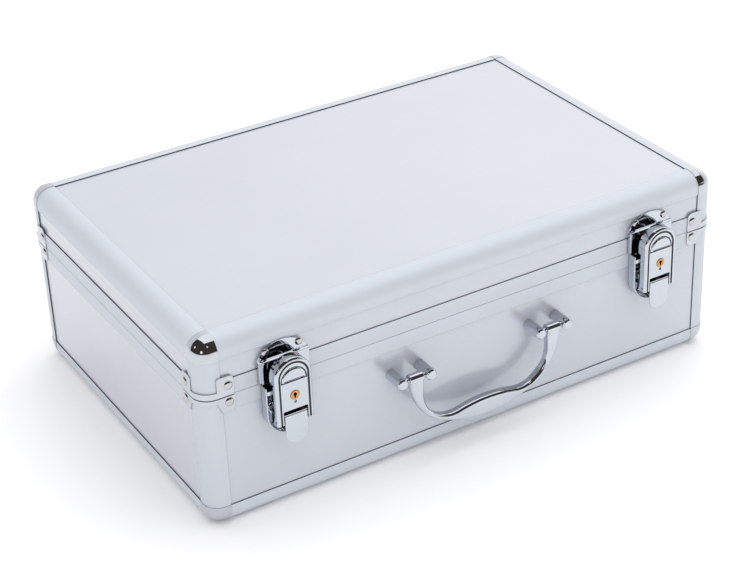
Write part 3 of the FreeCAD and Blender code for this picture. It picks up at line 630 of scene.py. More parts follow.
def set_rivets(node, body):
    spots, directions, sizes = [], [], []
    for low, high in solids(node):
        size, middle = high - low, (low + high) / 2
        axis = max((0, 1), key=lambda k: size[k])
        sign = 1 if middle[axis] > ((front + rear) / 2 if axis else 0) else -1
        direction = (X, Y)[axis] * sign
        spots.append(middle + direction * (size[axis] / 2 - rivet_head))
        directions.append(direction)
        sizes.append((size.z / 2, size[axis] - rivet_head))
    cloud = bpy.data.meshes.new(node)
    cloud.from_pydata([tuple(spot) for spot in spots], [], [])
    outward = cloud.attributes.new("outward", "FLOAT_VECTOR", "POINT")
    outward.data.foreach_set("vector", [c for direction in directions for c in direction])
    data = settle(linked(node, cloud), rivet_setting, Head_radius=sizes[0][0], Head_height=rivet_head,
                  Shank_radius=rivet_shank, Shank_length=sizes[0][1], Finish=rivet_nickel)
    as_piece("set_" + node, data, body, [rivet_nickel], [node], crease=50)


for node, body in (("base_clamp_rivets", "base"), ("hinge_base_rivets", "base"), ("latch_base_rivets", "base"),
                   ("lid_clamp_rivets", "lid"), ("hinge_lid_rivets", "lid"), ("latch_keeper_rivets", "lid")):
    set_rivets(node, body)

# ---- Rear hinges ---------------------------------------------------------------------------------
# Two butt hinges of nickel-plated sheet join the lid to the base at the back. Each leaf is riveted flat
# on its half and curls round a steel pin that runs through the three knuckles.
leaf_sheet, leaf_corner, leaf_edge, leaf_from_seam = 1.2 * MM, 3.0 * MM, 0.25 * MM, 3.6 * MM
knuckle_radius, knuckle_middle, knuckle_gap, knuckle_edge = 3.0 * MM, 16.4 * MM, 0.3 * MM, 0.35 * MM
tab_from, tab_lap, pad_gap, pin_past, pin_edge = 0.7 * MM, 1.0 * MM, 0.3 * MM, 0.6 * MM, 0.5 * MM


def brushed(name, dark, light, stretch, base_roughness):
    def paint(graph):
        lines = graph.noise(graph.place(stretch), 1900, 4.0)
        stain = graph.noise(graph.place(), 45, 3.0)
        return {"Base Color": graph.mix((lines * 0.6 + stain * 0.4).limited(), dark, light),
                "Roughness": (lines - 0.5) * 0.14 + (stain - 0.5) * 0.12 + base_roughness,
                "Height": (lines, 0.12, 0.00004)}
    return finish_of(name, paint, Metallic=1.0)


hinge_nickel = brushed("hinge_nickel", (0.52, 0.53, 0.55), (0.72, 0.73, 0.75), (0.05, 1, 1), 0.26)
zinc = brushed("zinc_plate", (0.46, 0.47, 0.50), (0.66, 0.67, 0.70), (1, 1, 1), 0.38)


def area(points):
    return sum(a[0] * b[1] - b[0] * a[1] for a, b in zip(points, points[1:] + points[:1])) / 2


def inset(points, distance):
    """The closed outline moved in from its left-hand side by a distance, corners mitred."""
    moved = []
    for k, (x, y) in enumerate(points):
        (px, py), (nx, ny) = points[k - 1], points[(k + 1) % len(points)]
        a, b = math.hypot(x - px, y - py), math.hypot(nx - x, ny - y)
        n1, n2 = ((y - py) / a, (px - x) / a), ((ny - y) / b, (x - nx) / b)
        share = distance / (1 + n1[0] * n2[0] + n1[1] * n2[1])
        moved.append((x - (n1[0] + n2[0]) * share, y - (n1[1] + n2[1]) * share))
    return moved


def fill(loops):
    """Triangles that fill an outline with holes, as points and index lists."""
    curve = bpy.data.curves.new("outline", "CURVE")
    curve.dimensions, curve.fill_mode = "2D", "BOTH"
    for loop in loops:
        spline = curve.splines.new("POLY")
        spline.points.add(len(loop) - 1)
        spline.points.foreach_set("co", [c for u, v in loop for c in (u / MM, v / MM, 0, 1)])
        spline.use_cyclic_u = True
    holder = bpy.data.objects.new("outline", curve)
    data = bpy.data.meshes.new_from_object(holder)
    points, faces = [(v.co.x * MM, v.co.y * MM) for v in data.vertices], [list(f.vertices) for f in data.polygons]
    bpy.data.objects.remove(holder)
    bpy.data.curves.remove(curve)
    bpy.data.meshes.remove(data)
    return points, faces


def sheet_part(mesh, place, thickness, edge, outer, *holes, steps=4):
    """Flat sheet with rounded edges; place(u, v, w) puts it, with w from 0 at the back to the front."""
    loops = [outer if area(outer) > 0 else outer[::-1]] + [h if area(h) < 0 else h[::-1] for h in holes]
    quarter = [math.pi / 2 * k / steps for k in range(steps + 1)] if edge else [0]
    rings = [(edge * (1 - math.sin(t)), edge * (1 - math.cos(t))) for t in quarter]
    rings += [(inward, thickness - w) for inward, w in reversed(rings)]
    for loop in loops:
        made = [[mesh.verts.new(place(u, v, w)) for u, v in (inset(loop, inward) if inward else loop)]
                for inward, w in rings]
        for low_ring, high_ring in zip(made, made[1:]):
            for k in range(len(loop)):
                n = (k + 1) % len(loop)
                mesh.faces.new((low_ring[k], low_ring[n], high_ring[n], high_ring[k]))
    points, faces = fill([inset(loop, edge) if edge else loop for loop in loops])
    for w in (0.0, thickness):
        cap = [mesh.verts.new(place(u, v, w)) for u, v in points]
        for face in faces:
            mesh.faces.new([cap[k] for k in face])


def revolve(mesh, at, along, profile, segments=48):
    """Turned part: profile is (radius, distance along the axis) from one end to the other."""
    along = along.normalized()
    side = along.orthogonal().normalized()
    other = along.cross(side)
    rings = []
    for radius, distance in profile:
        centre = at + along * distance
        if radius < near_enough / 10:
            rings.append([mesh.verts.new(centre)])
        else:
            turns = [math.tau * k / segments for k in range(segments)]
            rings.append([mesh.verts.new(centre + (side * math.cos(t) + other * math.sin(t)) * radius)
                          for t in turns])
    for a, b in zip(rings, rings[1:]):
        for k in range(segments):
            n = (k + 1) % segments
            quad = [a[k % len(a)], a[n % len(a)], b[n % len(b)], b[k % len(b)]]
            mesh.faces.new(list(dict.fromkeys(quad)))


def rounded_rod(radius, length, edge):
    """Profile of a solid rod with rounded ends."""
    turns = [math.pi / 8 * k for k in range(5)]
    tip = [(radius - edge * (1 - math.sin(t)), edge * (1 - math.cos(t))) for t in turns]
    return [(0, 0)] + tip + [(r, length - d) for r, d in reversed(tip)] + [(0, length)]


def cross_pin(name, body, slot, material, start, length, radius, edge, *nodes, segments=48):
    """Round pin along x with rounded ends."""
    mesh = bmesh.new()
    revolve(mesh, start, X, rounded_rod(radius, length, edge), segments)
    piece(name, mesh, body, slot, [material], *nodes, crease=60)


def flat_sides(made):
    """Flat faces stay flat in the shading where rounded edges join them."""
    weights = made.modifiers.new("flat_sides", "WEIGHTED_NORMAL")
    weights.mode, weights.weight, weights.keep_sharp = "FACE_AREA", 100, True
    return made


def extent(low, high, k):
    """Middle and half width of a box along one axis."""
    return (low[k] + high[k]) / 2, (high[k] - low[k]) / 2


def rectangle(u0, v0, u1, v1):
    return [(u0, v0), (u1, v0), (u1, v1), (u0, v1)]


def rounded(*bends, steps):
    """Closed outline through bends (u, v, radius); a radius of 0 leaves the bend sharp."""
    points = []
    for k, (u, v, radius) in enumerate(bends):
        if not radius:
            points.append((u, v))
            continue
        corner = Vector((u, v))
        beside = (Vector(bends[n % len(bends)][:2]) for n in (k - 1, k + 1))
        before, after = ((other - corner).normalized() for other in beside)
        half = before.angle(after) / 2
        start, end = (corner + side * (radius / math.tan(half)) for side in (before, after))
        middle = corner + (before + after).normalized() * (radius / math.sin(half) - radius)
        points += [tuple(start)] + arc(start, middle, end, steps)
    return points


pin_y, pin_radius = extent(*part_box("hinge_pins"), 1)
for body, node, away in (("base", "hinge_base_leaves", -1), ("lid", "hinge_lid_leaves", 1)):
    rim_end = abs(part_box(body + "_rear_rim_rail")[1 if away > 0 else 0].z - seam) + pad_gap
    for number, (low, high) in enumerate(solids(node)):
        middle, half = extent(low, high, 0)
        far = abs((high.z if away > 0 else low.z) - seam)
        mesh = bmesh.new()

        def on_back(u, v, w):
            return Vector((middle + u, rear + w, seam + away * v))
        sheet_part(mesh, on_back, leaf_sheet, leaf_edge, rounded(
            (-half, leaf_from_seam, 0), (half, leaf_from_seam, 0), (half, far, leaf_corner),
            (-half, far, leaf_corner), steps=6))
        # a tab and a knuckle for each of the leaf's shares of the pin
        third = knuckle_middle / 2
        spans = [(-third, third)] if body == "lid" else [(-half, -third - knuckle_gap), (third + knuckle_gap, half)]
        for start, end in spans:
            sheet_part(mesh, on_back, leaf_sheet, leaf_edge,
                       rectangle(start, tab_from, end, leaf_from_seam + tab_lap))
            revolve(mesh, Vector((middle + start, pin_y, seam)), X,
                    rounded_rod(knuckle_radius, end - start, knuckle_edge))
        # packing behind the leaf, down to the panel
        sheet_part(mesh, lambda u, v, w: on_back(u, v, w - lip), lip + leaf_sheet / 2, 0,
                   rectangle(-half, rim_end, half, far - leaf_edge))
        flat_sides(piece("%s_hinge_leaf_%d" % (body, number), mesh, body, "hinge_steel", [hinge_nickel],
                         *lead(number, node)))
for number, (low, high) in enumerate(solids("hinge_pins")):
    cross_pin("hinge_pin_%d" % number, "base", "zinc_steel", zinc, Vector((low.x - pin_past, pin_y, seam)),
              high.x - low.x + 2 * pin_past, pin_radius, pin_edge, *lead(number, "hinge_pins"))

# ---- Handle fixings ------------------------------------------------------------------------------
# Steel backing plates and screws inside the front wall clamp the handle's posts. Both are zinc plated
# and lie under the base's lining.
for node in ("handle_backing_plates", "handle_screws"):
    show_cad(node, zinc)

# ---- Lining --------------------------------------------------------------------------------------
# The base and the lid each hold a tray of thin black foam with a fleece face, glued to the panels. Its
# inner corners are rounded, and its free edge is rolled over.
fleece_corner, fleece_round, fleece_steps = 6.0 * MM, 0.8 * MM, 6
tray_wall, tray_edge, least_corner = 2.0 * MM, 0.5 * MM, 1.5 * MM


def fleece_paint(graph):
    place = graph.place()
    nap = graph.noise(place, 1400, 6.0, 0.7)
    lint = graph.noise(place, 260, 3.0)
    brush = graph.noise(graph.place((1, 0.25, 1)), 22, 3.0)
    shade = (nap * 0.5 + lint * 0.2 + brush * 0.3).limited()
    return {"Base Color": graph.mix(shade.over(0.25, 0.8), (0.010, 0.010, 0.012), (0.075, 0.075, 0.082)),
            "Roughness": 0.98 - nap * 0.16, "Height": (nap * 0.7 + lint * 0.3, 0.55, 0.0004)}


fleece = finish_of("lining_fleece", fleece_paint, Sheen_Weight=0.5, Sheen_Roughness=0.4)


def rounded_field(low, high, radius, z):
    """Ring of points round a rectangle with rounded corners."""
    points = []
    for cx, cy, first in ((high.x - radius, high.y - radius, 0), (low.x + radius, high.y - radius, 1),
                          (low.x + radius, low.y + radius, 2), (high.x - radius, low.y + radius, 3)):
        for k in range(fleece_steps + 1):
            turn = math.pi / 2 * (first + k / fleece_steps)
            points.append(Vector((cx + radius * math.cos(turn), cy + radius * math.sin(turn), z)))
    return points


def lining_tray(body, up):
    """Tray with a solid floor and walls: its outside, its rolled edge, then its inside down to the floor."""
    low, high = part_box(body + "_liner")
    floor_z, deep = (low.z if up > 0 else high.z), high.z - low.z
    wall, q = tray_wall, fleece_round
    levels = [(tray_edge, 0.0), (0.0, q), (0.0, deep - q), (q * 0.3, deep - q * 0.3), (q, deep), (wall - q, deep),
              (wall - q * 0.3, deep - q * 0.3), (wall, deep - q), (wall, wall + 4 * q),
              (wall + q * 0.6, wall + 1.6 * q), (wall + 1.6 * q, wall + 0.6 * q), (wall + 4 * q, wall)]
    mesh, rings = bmesh.new(), []
    for inward, height in levels:
        shrink = Vector((inward, inward, 0))
        ring = rounded_field(low + shrink, high - shrink, max(fleece_corner - inward, least_corner),
                             floor_z + up * height)
        rings.append([mesh.verts.new(point) for point in ring])
    for a, b in zip(rings, rings[1:]):
        for k in range(len(a)):
            n = (k + 1) % len(a)
            mesh.faces.new((a[k], a[n], b[n], b[k]))
    mesh.faces.new(rings[0])
    mesh.faces.new(rings[-1])
    made = piece("lining_" + body, mesh, body, "lining", [fleece], body + "_liner", crease=60)


lining_tray("base", 1)
lining_tray("lid", -1)

# ---- Latches: keepers ----------------------------------------------------------------------------
# A bright plate with an arched top is riveted to the front of the lid. Its lower half is pressed out to a
# box with a straight ledge and a slot that takes the latch's claw.
latch_chrome = polished("latch_chrome", (0.545, 0.58, 0.63), (0.62, 0.655, 0.705), 0.04, 0.04)
latch_sheet, latch_edge, latch_gap = 1.2 * MM, 0.35 * MM, 0.3 * MM
keeper_crown, keeper_corner, keeper_out, ledge_above = 24.0 * MM, 6.0 * MM, 3.5 * MM, 19.7 * MM
slot_half, slot_low, slot_high = 7.0 * MM, 8.0 * MM, 12.5 * MM
ledge_round, ledge_fall = 0.35 * MM, 1.4 * MM


def on_front(middle, out=0.0):
    """Places a sheet on the front of the case: u across, v up from the seam, w outwards."""
    return lambda u, v, w: Vector((middle + u, front - out - w, seam + v))


def extrude_u(mesh, middle, start, end, profile):
    """Closed bar along x on the front of the case, from a profile of (out, up from the seam)."""
    ends = [[mesh.verts.new((middle + u, front - out, seam + v)) for out, v in profile] for u in (start, end)]
    for k in range(len(profile)):
        n = (k + 1) % len(profile)
        mesh.faces.new((ends[0][k], ends[0][n], ends[1][n], ends[1][k]))
    for end_ring in ends:
        mesh.faces.new(end_ring)


def bar(mesh, low, high):
    """Plain closed block, for what lies behind a sheet."""
    bmesh.ops.create_cube(mesh, size=1.0, matrix=Matrix.Translation((Vector(low) + Vector(high)) / 2)
                          @ Matrix.Diagonal((*(Vector(high) - Vector(low)), 1)))


def crown_corner(side, centre, crown, corner, up=1):
    """A corner arc between an upright flank at u = side and a wide arc about (0, centre).

    Gives the height where it leaves the flank, its middle point and the point where it meets the wide arc."""
    u = side - corner
    v = centre + up * math.sqrt((crown - corner) ** 2 - u ** 2)
    ratio = crown / (crown - corner)
    meet = (u * ratio, centre + (v - centre) * ratio)
    turn = math.atan2(meet[1] - v, meet[0] - u) / 2
    return v, (u + corner * math.cos(turn), v + corner * math.sin(turn)), meet


latch_middles = {side: extent(*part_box("latch_%s_lever" % side), 0)[0] for side in ("left", "right")}
for number, (low, high) in enumerate(solids("latch_keepers")):
    middle, half = extent(low, high, 0)
    foot, crest = low.z - seam, high.z - seam
    flank, bend, meet = crown_corner(half, crest - keeper_crown, keeper_crown, keeper_corner)
    plate = outline((-half, foot), (half, foot), (half, flank), bend + meet, (0, crest, -meet[0], meet[1]),
                    (-bend[0], bend[1], -half, flank), steps=14)
    mesh = bmesh.new()
    sheet_part(mesh, on_front(middle), latch_sheet, latch_edge, plate)
    # the box: its face with the claw's slot, its two cheeks and its sloped ledge
    box_top = ledge_above - ledge_fall
    sheet_part(mesh, on_front(middle, keeper_out - latch_sheet), latch_sheet, ledge_round,
               rectangle(-half, foot, half, box_top), rectangle(-slot_half, slot_low, slot_half, slot_high))
    for u0, u1 in ((-half, latch_sheet - half), (half - latch_sheet, half)):
        sheet_part(mesh, on_front(middle), keeper_out - latch_sheet / 2, 0, rectangle(u0, foot, u1, box_top))
    extrude_u(mesh, middle, -half, half, [
        (0, ledge_above), (keeper_out - ledge_round, box_top + ledge_round / 2),
        (keeper_out, box_top - ledge_round / 2), (keeper_out - latch_sheet, box_top - latch_sheet),
        (0, ledge_above - latch_sheet - ledge_round)])
    # packing behind the plate, down to the panel and clear of the rails' lips
    rim_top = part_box("lid_front_rim_rail")[1].z - seam + latch_gap
    rail_low = top - rail_leg - seam - latch_gap
    pad = list(dict.fromkeys((u, min(max(v, rim_top), rail_low)) for u, v in inset(plate, latch_edge)))
    sheet_part(mesh, on_front(middle, -lip), lip + latch_sheet / 2, 0, pad)
    flat_sides(piece("keeper_%d" % number, mesh, "lid", "latch_chrome", [latch_chrome],
                     *lead(number, "latch_keepers")))

# ---- Latches: base plates ------------------------------------------------------------------------
# Below the seam a bright tray with a rounded bottom is riveted to the front of the base. Its wall stands
# out round the latch, and two ears inside it carry the lever's pin.
tray_wall_out, tray_roll = 8.0 * MM, 0.55 * MM
ear_inside, ear_half, ear_edge, lever_pin_edge = 10.4 * MM, 2.4 * MM, 0.2 * MM, 0.4 * MM
lever_y = extent(*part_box("latch_lever_pins"), 1)[0]
lever_z, lever_pin = extent(*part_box("latch_lever_pins"), 2)


def tray_outline(width, high, round_at):
    return outline((width, round_at), (width, high), (-width, high), (-width, round_at),
                   (0, round_at - width, width, round_at), steps=36)


for number, (low, high) in enumerate(solids("latch_base_plates")):
    middle, half = extent(low, high, 0)
    upper, round_at, thin = high.z - seam, low.z - seam + half, half - latch_sheet
    mesh = bmesh.new()
    sheet_part(mesh, on_front(middle), latch_sheet, latch_edge, tray_outline(half, upper, round_at))
    wall = outline((half, upper), (thin, upper), (thin, round_at), (0, round_at - thin, -thin, round_at),
                   (-thin, upper), (-half, upper), (-half, round_at), (0, round_at - half, half, round_at),
                   steps=36)
    sheet_part(mesh, on_front(middle), tray_wall_out, tray_roll, wall)
    # packing behind the tray, down to the panel and clear of the rim rail's lip
    floor_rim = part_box("base_front_rim_rail")[0].z - seam - latch_gap
    sheet_part(mesh, on_front(middle, -lip), lip + latch_sheet / 2, 0,
               tray_outline(half - latch_edge, floor_rim, round_at))
    ear_out = front - lever_y
    ear = outline((0, -ear_half), (ear_out, -ear_half), (ear_out + ear_half, 0, ear_out, ear_half), (0, ear_half),
                  steps=12)
    for start in (-ear_inside - latch_sheet, ear_inside):
        sheet_part(mesh, lambda u, v, w, at=middle + start: Vector((at + w, front - u, lever_z + v)), latch_sheet,
                   ear_edge, ear)
    flat_sides(piece("latch_tray_%d" % number, mesh, "base", "latch_chrome", [latch_chrome],
                     *lead(number, "latch_base_plates")))
for number, (low, high) in enumerate(solids("latch_lever_pins")):
    cross_pin("lever_pin_%d" % number, "base", "latch_chrome", latch_chrome, Vector((low.x, lever_y, lever_z)),
              high.x - low.x, lever_pin, lever_pin_edge, *lead(number, "latch_lever_pins"), segments=24)

# ---- Latches: covers -----------------------------------------------------------------------------
# The cover is a pressed channel with an arched top. A raised half-round, the lock's hole with a small drain
# hole, and the finger lever's cut-out are pressed in its front; a claw inside reaches for the keeper.
shoulder, shoulder_deep, cover_arch, cover_back_out = 2.6 * MM, 2.0 * MM, 8.0 * MM, 8.0 * MM
groove_wide, groove_deep, face_edge = 1.5 * MM, 0.8 * MM, 0.3 * MM
cutout_half, cutout_top, cutout_corner = 9.8 * MM, -18.8 * MM, 0.8 * MM
emboss_radius, emboss_foot, emboss_rise, emboss_high = 9.9 * MM, 4.9 * MM, 0.6 * MM, 0.6 * MM
emboss_round, emboss_back, moat = 1.7 * MM, 3 * latch_sheet, 0.5 * MM
plug_radius, plug_drop, peep_radius, peep_drop = 3.6 * MM, 7.0 * MM, 1.1 * MM, 12.5 * MM
barrel_wall, barrel_play, barrel_back = 0.7 * MM, 0.1 * MM, 7.0 * MM
claw_half, claw_clear, claw_rise, claw_hook, claw_lap = 5.5 * MM, 0.6 * MM, 2.6 * MM, 1.0 * MM, 0.4 * MM
groove_lap, cover_pin_edge = 0.05 * MM, 0.3 * MM


# Painted shade and painted dark reflection: the groove's bed is near-black so that dark lines show along the
# cover's shoulder and round the half-round; the noise only mottles it.
def groove_shade_paint(graph):
    place = graph.place()
    shade_mottle, fine = graph.noise(place, 420, 3.0), graph.noise(place, 2600, 2.0)
    return {"Base Color": graph.mix(shade_mottle, (0.022, 0.026, 0.036), (0.085, 0.09, 0.11)),
            "Roughness": fine * 0.25 + 0.35, "Height": (fine, 0.2, 0.00005)}


pressed_groove = finish_of("pressed_groove", groove_shade_paint, Metallic=0.7)


def circle(u, v, radius, steps=32):
    return [(u + radius * math.cos(math.tau * k / steps), v + radius * math.sin(math.tau * k / steps))
            for k in range(steps)]


def arch_path(half, foot, offset):
    """Open path up one flank, over the arch and down the other, moved in by an offset."""
    r, rise_steps, bow_steps = half - offset, 6, 44
    rise = [(-r, foot + (cover_arch - foot) * k / rise_steps) for k in range(rise_steps)]
    turns = [math.pi * k / bow_steps for k in range(bow_steps + 1)]
    bow = [(-r * math.cos(t), cover_arch + r * math.sin(t)) for t in turns]
    return rise + bow + [(-u, v) for u, v in reversed(rise)]


def cover_front(half, foot, offset):
    """Closed outline of the cover's front inside an offset, with the cut-out for the finger lever."""
    return arch_path(half, foot, offset) + rounded(
        (cutout_half, foot, 0), (cutout_half, cutout_top, cutout_corner),
        (-cutout_half, cutout_top, cutout_corner), (-cutout_half, foot, 0), steps=4)


def half_round(grow):
    r, spring = emboss_radius + grow, emboss_foot + emboss_rise
    return outline((r, emboss_foot - grow), (r, spring), (0, spring + r, -r, spring), (-r, emboss_foot - grow),
                   steps=40)


def cover_shell(mesh, middle, half, foot, face_out):
    """Flanks and sloped shoulder, outside and inside."""
    place, steps = on_front(middle), 8
    low_out, inner = face_out - shoulder_deep, shoulder - latch_sheet
    turns = [math.pi / 2 * k / steps for k in range(1, steps + 1)]
    outside = [(0.0, cover_back_out), (0.0, low_out)]
    outside += [(shoulder * (1 - math.cos(a)), low_out + shoulder_deep * math.sin(a)) for a in turns]
    inside = [(latch_sheet + inner * (1 - math.cos(a)), low_out + (shoulder_deep - latch_sheet) * math.sin(a))
              for a in reversed(turns)]
    section = outside + inside + [(latch_sheet, low_out), (latch_sheet, cover_back_out)]
    rails = [[mesh.verts.new(place(u, v, out)) for u, v in arch_path(half, foot, offset)]
             for offset, out in section]
    for a, b in zip(rails, rails[1:] + rails[:1]):
        for k in range(len(a) - 1):
            mesh.faces.new((a[k], a[k + 1], b[k + 1], b[k]))
    for end in (0, -1):
        mesh.faces.new([rail[end] for rail in rails])


for side, middle in latch_middles.items():
    body, node = "cover_" + side, "latch_%s_cover" % side
    pin_low, pin_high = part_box(node + "_pin")
    half, face_out = (pin_high.x - pin_low.x) / 2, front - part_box("latch_%s_lever" % side)[0].y
    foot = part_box(node)[0].z - seam
    bore = circle(0, -plug_drop, plug_radius + barrel_play)
    peep = circle(0, -peep_drop, peep_radius, 20)
    mesh = bmesh.new()
    cover_shell(mesh, middle, half, foot, face_out)
    # the front inside the groove, the raised half-round and the barrel that holds the lock plug
    sheet_part(mesh, on_front(middle, face_out - groove_deep), groove_deep, face_edge,
               cover_front(half, foot, shoulder + groove_wide), half_round(moat), bore, peep)
    sheet_part(mesh, on_front(middle, face_out - emboss_back), emboss_back + emboss_high, emboss_round,
               half_round(0.0), steps=8)
    sheet_part(mesh, on_front(middle, face_out - barrel_back), barrel_back - groove_deep, 0,
               circle(0, -plug_drop, plug_radius + barrel_play + barrel_wall, 40),
               circle(0, -plug_drop, plug_radius + barrel_play, 40))
    # the claw and the hook at its tip
    claw_tip, claw_root = front - keeper_out - claw_clear, front - face_out + latch_sheet / 2
    claw_low = seam + slot_low
    bar(mesh, (middle - claw_half, claw_root, claw_low + claw_rise),
        (middle + claw_half, claw_tip, claw_low + claw_rise + latch_sheet))
    bar(mesh, (middle - claw_half, claw_tip - latch_sheet, claw_low + claw_hook),
        (middle + claw_half, claw_tip, claw_low + claw_rise + claw_lap))
    # the groove's bed is painted near-black as painted shade and painted dark reflection; it shows round the front
    # and round the half-round
    chrome_faces = len(mesh.faces)
    sheet_part(mesh, on_front(middle, face_out - latch_sheet), latch_sheet - groove_deep, 0,
               cover_front(half, foot, shoulder - groove_lap), bore, peep)
    mesh.faces.ensure_lookup_table()
    for face in mesh.faces[chrome_faces:]:
        face.material_index = 1
    flat_sides(piece("latch_cover_" + side, mesh, body, "latch_chrome", [latch_chrome, pressed_groove], node))
    (at_y, _), (at_z, radius) = (extent(pin_low, pin_high, k) for k in (1, 2))
    cross_pin("cover_pin_" + side, body, "latch_chrome", latch_chrome, Vector((pin_low.x, at_y, at_z)),
              pin_high.x - pin_low.x, radius, cover_pin_edge, node + "_pin", segments=24)

# ---- Latches: finger levers ----------------------------------------------------------------------
# A bright tab with round lower corners fills the cover's cut-out. Behind it an arm carries the cover's pin
# and ends in a hub that turns on the tray's pin.
lever_half, tab_top, tab_foot, tab_corner, tab_round = 9.0 * MM, -23.0 * MM, -47.0 * MM, 8.0 * MM, 0.5 * MM
hub_radius, hub_edge = 3.2 * MM, 0.3 * MM
for side, middle in latch_middles.items():
    node = "latch_%s_lever" % side
    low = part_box(node)[0]
    mesh = bmesh.new()
    sheet_part(mesh, on_front(middle, front - low.y - latch_sheet), latch_sheet, tab_round, rounded(
        (-lever_half, tab_top, 0), (-lever_half, tab_foot, tab_corner), (lever_half, tab_foot, tab_corner),
        (lever_half, tab_top, 0), steps=12))
    revolve(mesh, Vector((middle - lever_half, lever_y, lever_z)), X,
            rounded_rod(hub_radius, 2 * lever_half, hub_edge), 36)
    arm_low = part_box("latch_%s_cover_pin" % side)[0].z - latch_sheet
    bar(mesh, (middle - lever_half, low.y + latch_sheet / 2, arm_low),
        (middle + lever_half, lever_y, lever_z + hub_radius))
    flat_sides(piece("finger_lever_" + side, mesh, "lever_" + side, "latch_chrome", [latch_chrome], node))

# ---- Latches: lock plugs -------------------------------------------------------------------------
# A turned brass key cylinder sits in each cover, with a keyway in its face and a steel cam on its inner end. The
# brass shows the tool's rings, and the keyway's inside is painted near-black as painted shade.
plug_round, keyway_deep, cam_thick, cam_half, cam_edge = 0.3 * MM, 2.2 * MM, 1.0 * MM, 1.7 * MM, 0.15 * MM
keyway_half, keyway_round, keyway_long, keyway_rise = 0.6 * MM, 1.35 * MM, 3.0 * MM, 0.6 * MM
tool_rings = 14000.0


def brass_for(side, middle):
    def paint(graph):
        x, _, z = graph.axes(graph.place((1, 1, 1), (middle, 0, seam - plug_drop)))
        rings = ((x * x + z * z).math("SQRT") * tool_rings).math("SINE")
        stain = graph.noise(graph.place(), 900, 3.0)
        shade = (rings * 0.12 + stain * 0.9).limited()
        return {"Base Color": graph.mix(shade, (0.50, 0.22, 0.06), (0.88, 0.50, 0.20)),
                "Roughness": stain * 0.2 + 0.18, "Height": (rings, 0.15, 0.00003)}
    return finish_of("turned_brass_" + side, paint, Metallic=1.0)


# Painted shade: near-black colour for the inside of the keyway; the noise only mottles it.
def keyway_shade_paint(graph):
    keyway_mottle = graph.noise(graph.place(), 2200, 3.0)
    return {"Base Color": graph.mix(keyway_mottle, (0.006, 0.005, 0.004), (0.03, 0.022, 0.015)),
            "Roughness": keyway_mottle * 0.3 + 0.5, "Height": (keyway_mottle, 0.2, 0.0001)}


keyway_dark = finish_of("keyway_dark", keyway_shade_paint, Metallic=0.3)
for side, middle in latch_middles.items():
    node = "latch_%s_lock_plug" % side
    low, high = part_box(node)
    front_out, inner_out = front - low.y, front - high.y + cam_thick
    join_at = math.sqrt(keyway_round ** 2 - keyway_half ** 2)
    keyway = outline((-keyway_half, -keyway_long), (keyway_half, -keyway_long), (keyway_half, -join_at),
                     (0, keyway_round, -keyway_half, -join_at), steps=20)
    keyway = [(u, v + keyway_rise - plug_drop) for u, v in keyway]
    plug = circle(0, -plug_drop, plug_radius, 48)
    mesh = bmesh.new()
    sheet_part(mesh, on_front(middle, front_out - keyway_deep), keyway_deep, plug_round, plug, keyway)
    sheet_part(mesh, on_front(middle, inner_out), front_out - keyway_deep - inner_out, 0, plug)
    # faces sunk inside the keyway take the painted shade
    for face in mesh.faces:
        spot = face.calc_center_median()
        from_axis = math.dist((spot.x, spot.z), (middle, seam - plug_drop))
        sunk = front - spot.y < front_out - keyway_deep * 0.9
        face.material_index = 1 if sunk and from_axis < plug_radius * 0.99 else 0
    sheet_part(mesh, on_front(middle, front - high.y), cam_thick, cam_edge,
               rectangle(-cam_half, -cam_half - plug_drop, cam_half, high.z - seam))
    flat_sides(piece("lock_plug_" + side, mesh, "plug_" + side, "lock_brass",
                     [brass_for(side, middle), keyway_dark], node))

# ---- Carrying handle -----------------------------------------------------------------------------
# Four turned posts stand on the front of the base in two pairs. A steel pin crosses each pair, and the
# bail, a cast bar bent to a loop with finger hollows, hangs on the two pins.
handle_chrome = polished("handle_chrome", (0.565, 0.595, 0.65), (0.64, 0.67, 0.725), 0.04, 0.04)
post_chamfer, post_edge, handle_pin_edge = 1.1 * MM, 0.25 * MM, 0.2 * MM
bail_edge, bail_bottom_radius, bail_turn, bail_inner = 3.0 * MM, 100.0 * MM, 50.0 * MM, 25.0 * MM
leg_width, leg_above, eye_edge, inner_drop, hump_rise = 12.0 * MM, 1.2 * MM, 0.8 * MM, 41.0 * MM, 3.6 * MM
for number, (low, high) in enumerate(solids("handle_posts")):
    radius, length = (high.x - low.x) / 2, high.y - low.y
    profile = [(0, 0), (radius - post_chamfer - post_edge, 0), (radius - post_chamfer, post_edge * 0.3),
               (radius - post_edge * 0.4, post_chamfer), (radius, post_chamfer + post_edge), (radius, length),
               (0, length)]
    mesh = bmesh.new()
    revolve(mesh, Vector(((low.x + high.x) / 2, low.y, (low.z + high.z) / 2)), Y, profile, 64)
    flat_sides(piece("handle_post_%d" % number, mesh, "base", "handle_chrome", [handle_chrome],
                     *lead(number, "handle_posts"), crease=25))
for number, (low, high) in enumerate(solids("handle_pivot_pins")):
    (at_y, _), (at_z, radius) = (extent(low, high, k) for k in (1, 2))
    cross_pin("handle_pin_%d" % number, "base", "handle_chrome", handle_chrome, Vector((low.x, at_y, at_z)),
              high.x - low.x, radius, handle_pin_edge, *lead(number, "handle_pivot_pins"), segments=32)

pivot_y, pivot_z = (extent(*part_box("handle_pivot_pins"), k)[0] for k in (1, 2))
bail_low, bail_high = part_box("handle_bail")
leg_out, drop, bail_thick = bail_high.x, pivot_z - bail_low.z, bail_high.y - bail_low.y
leg_in = leg_out - leg_width


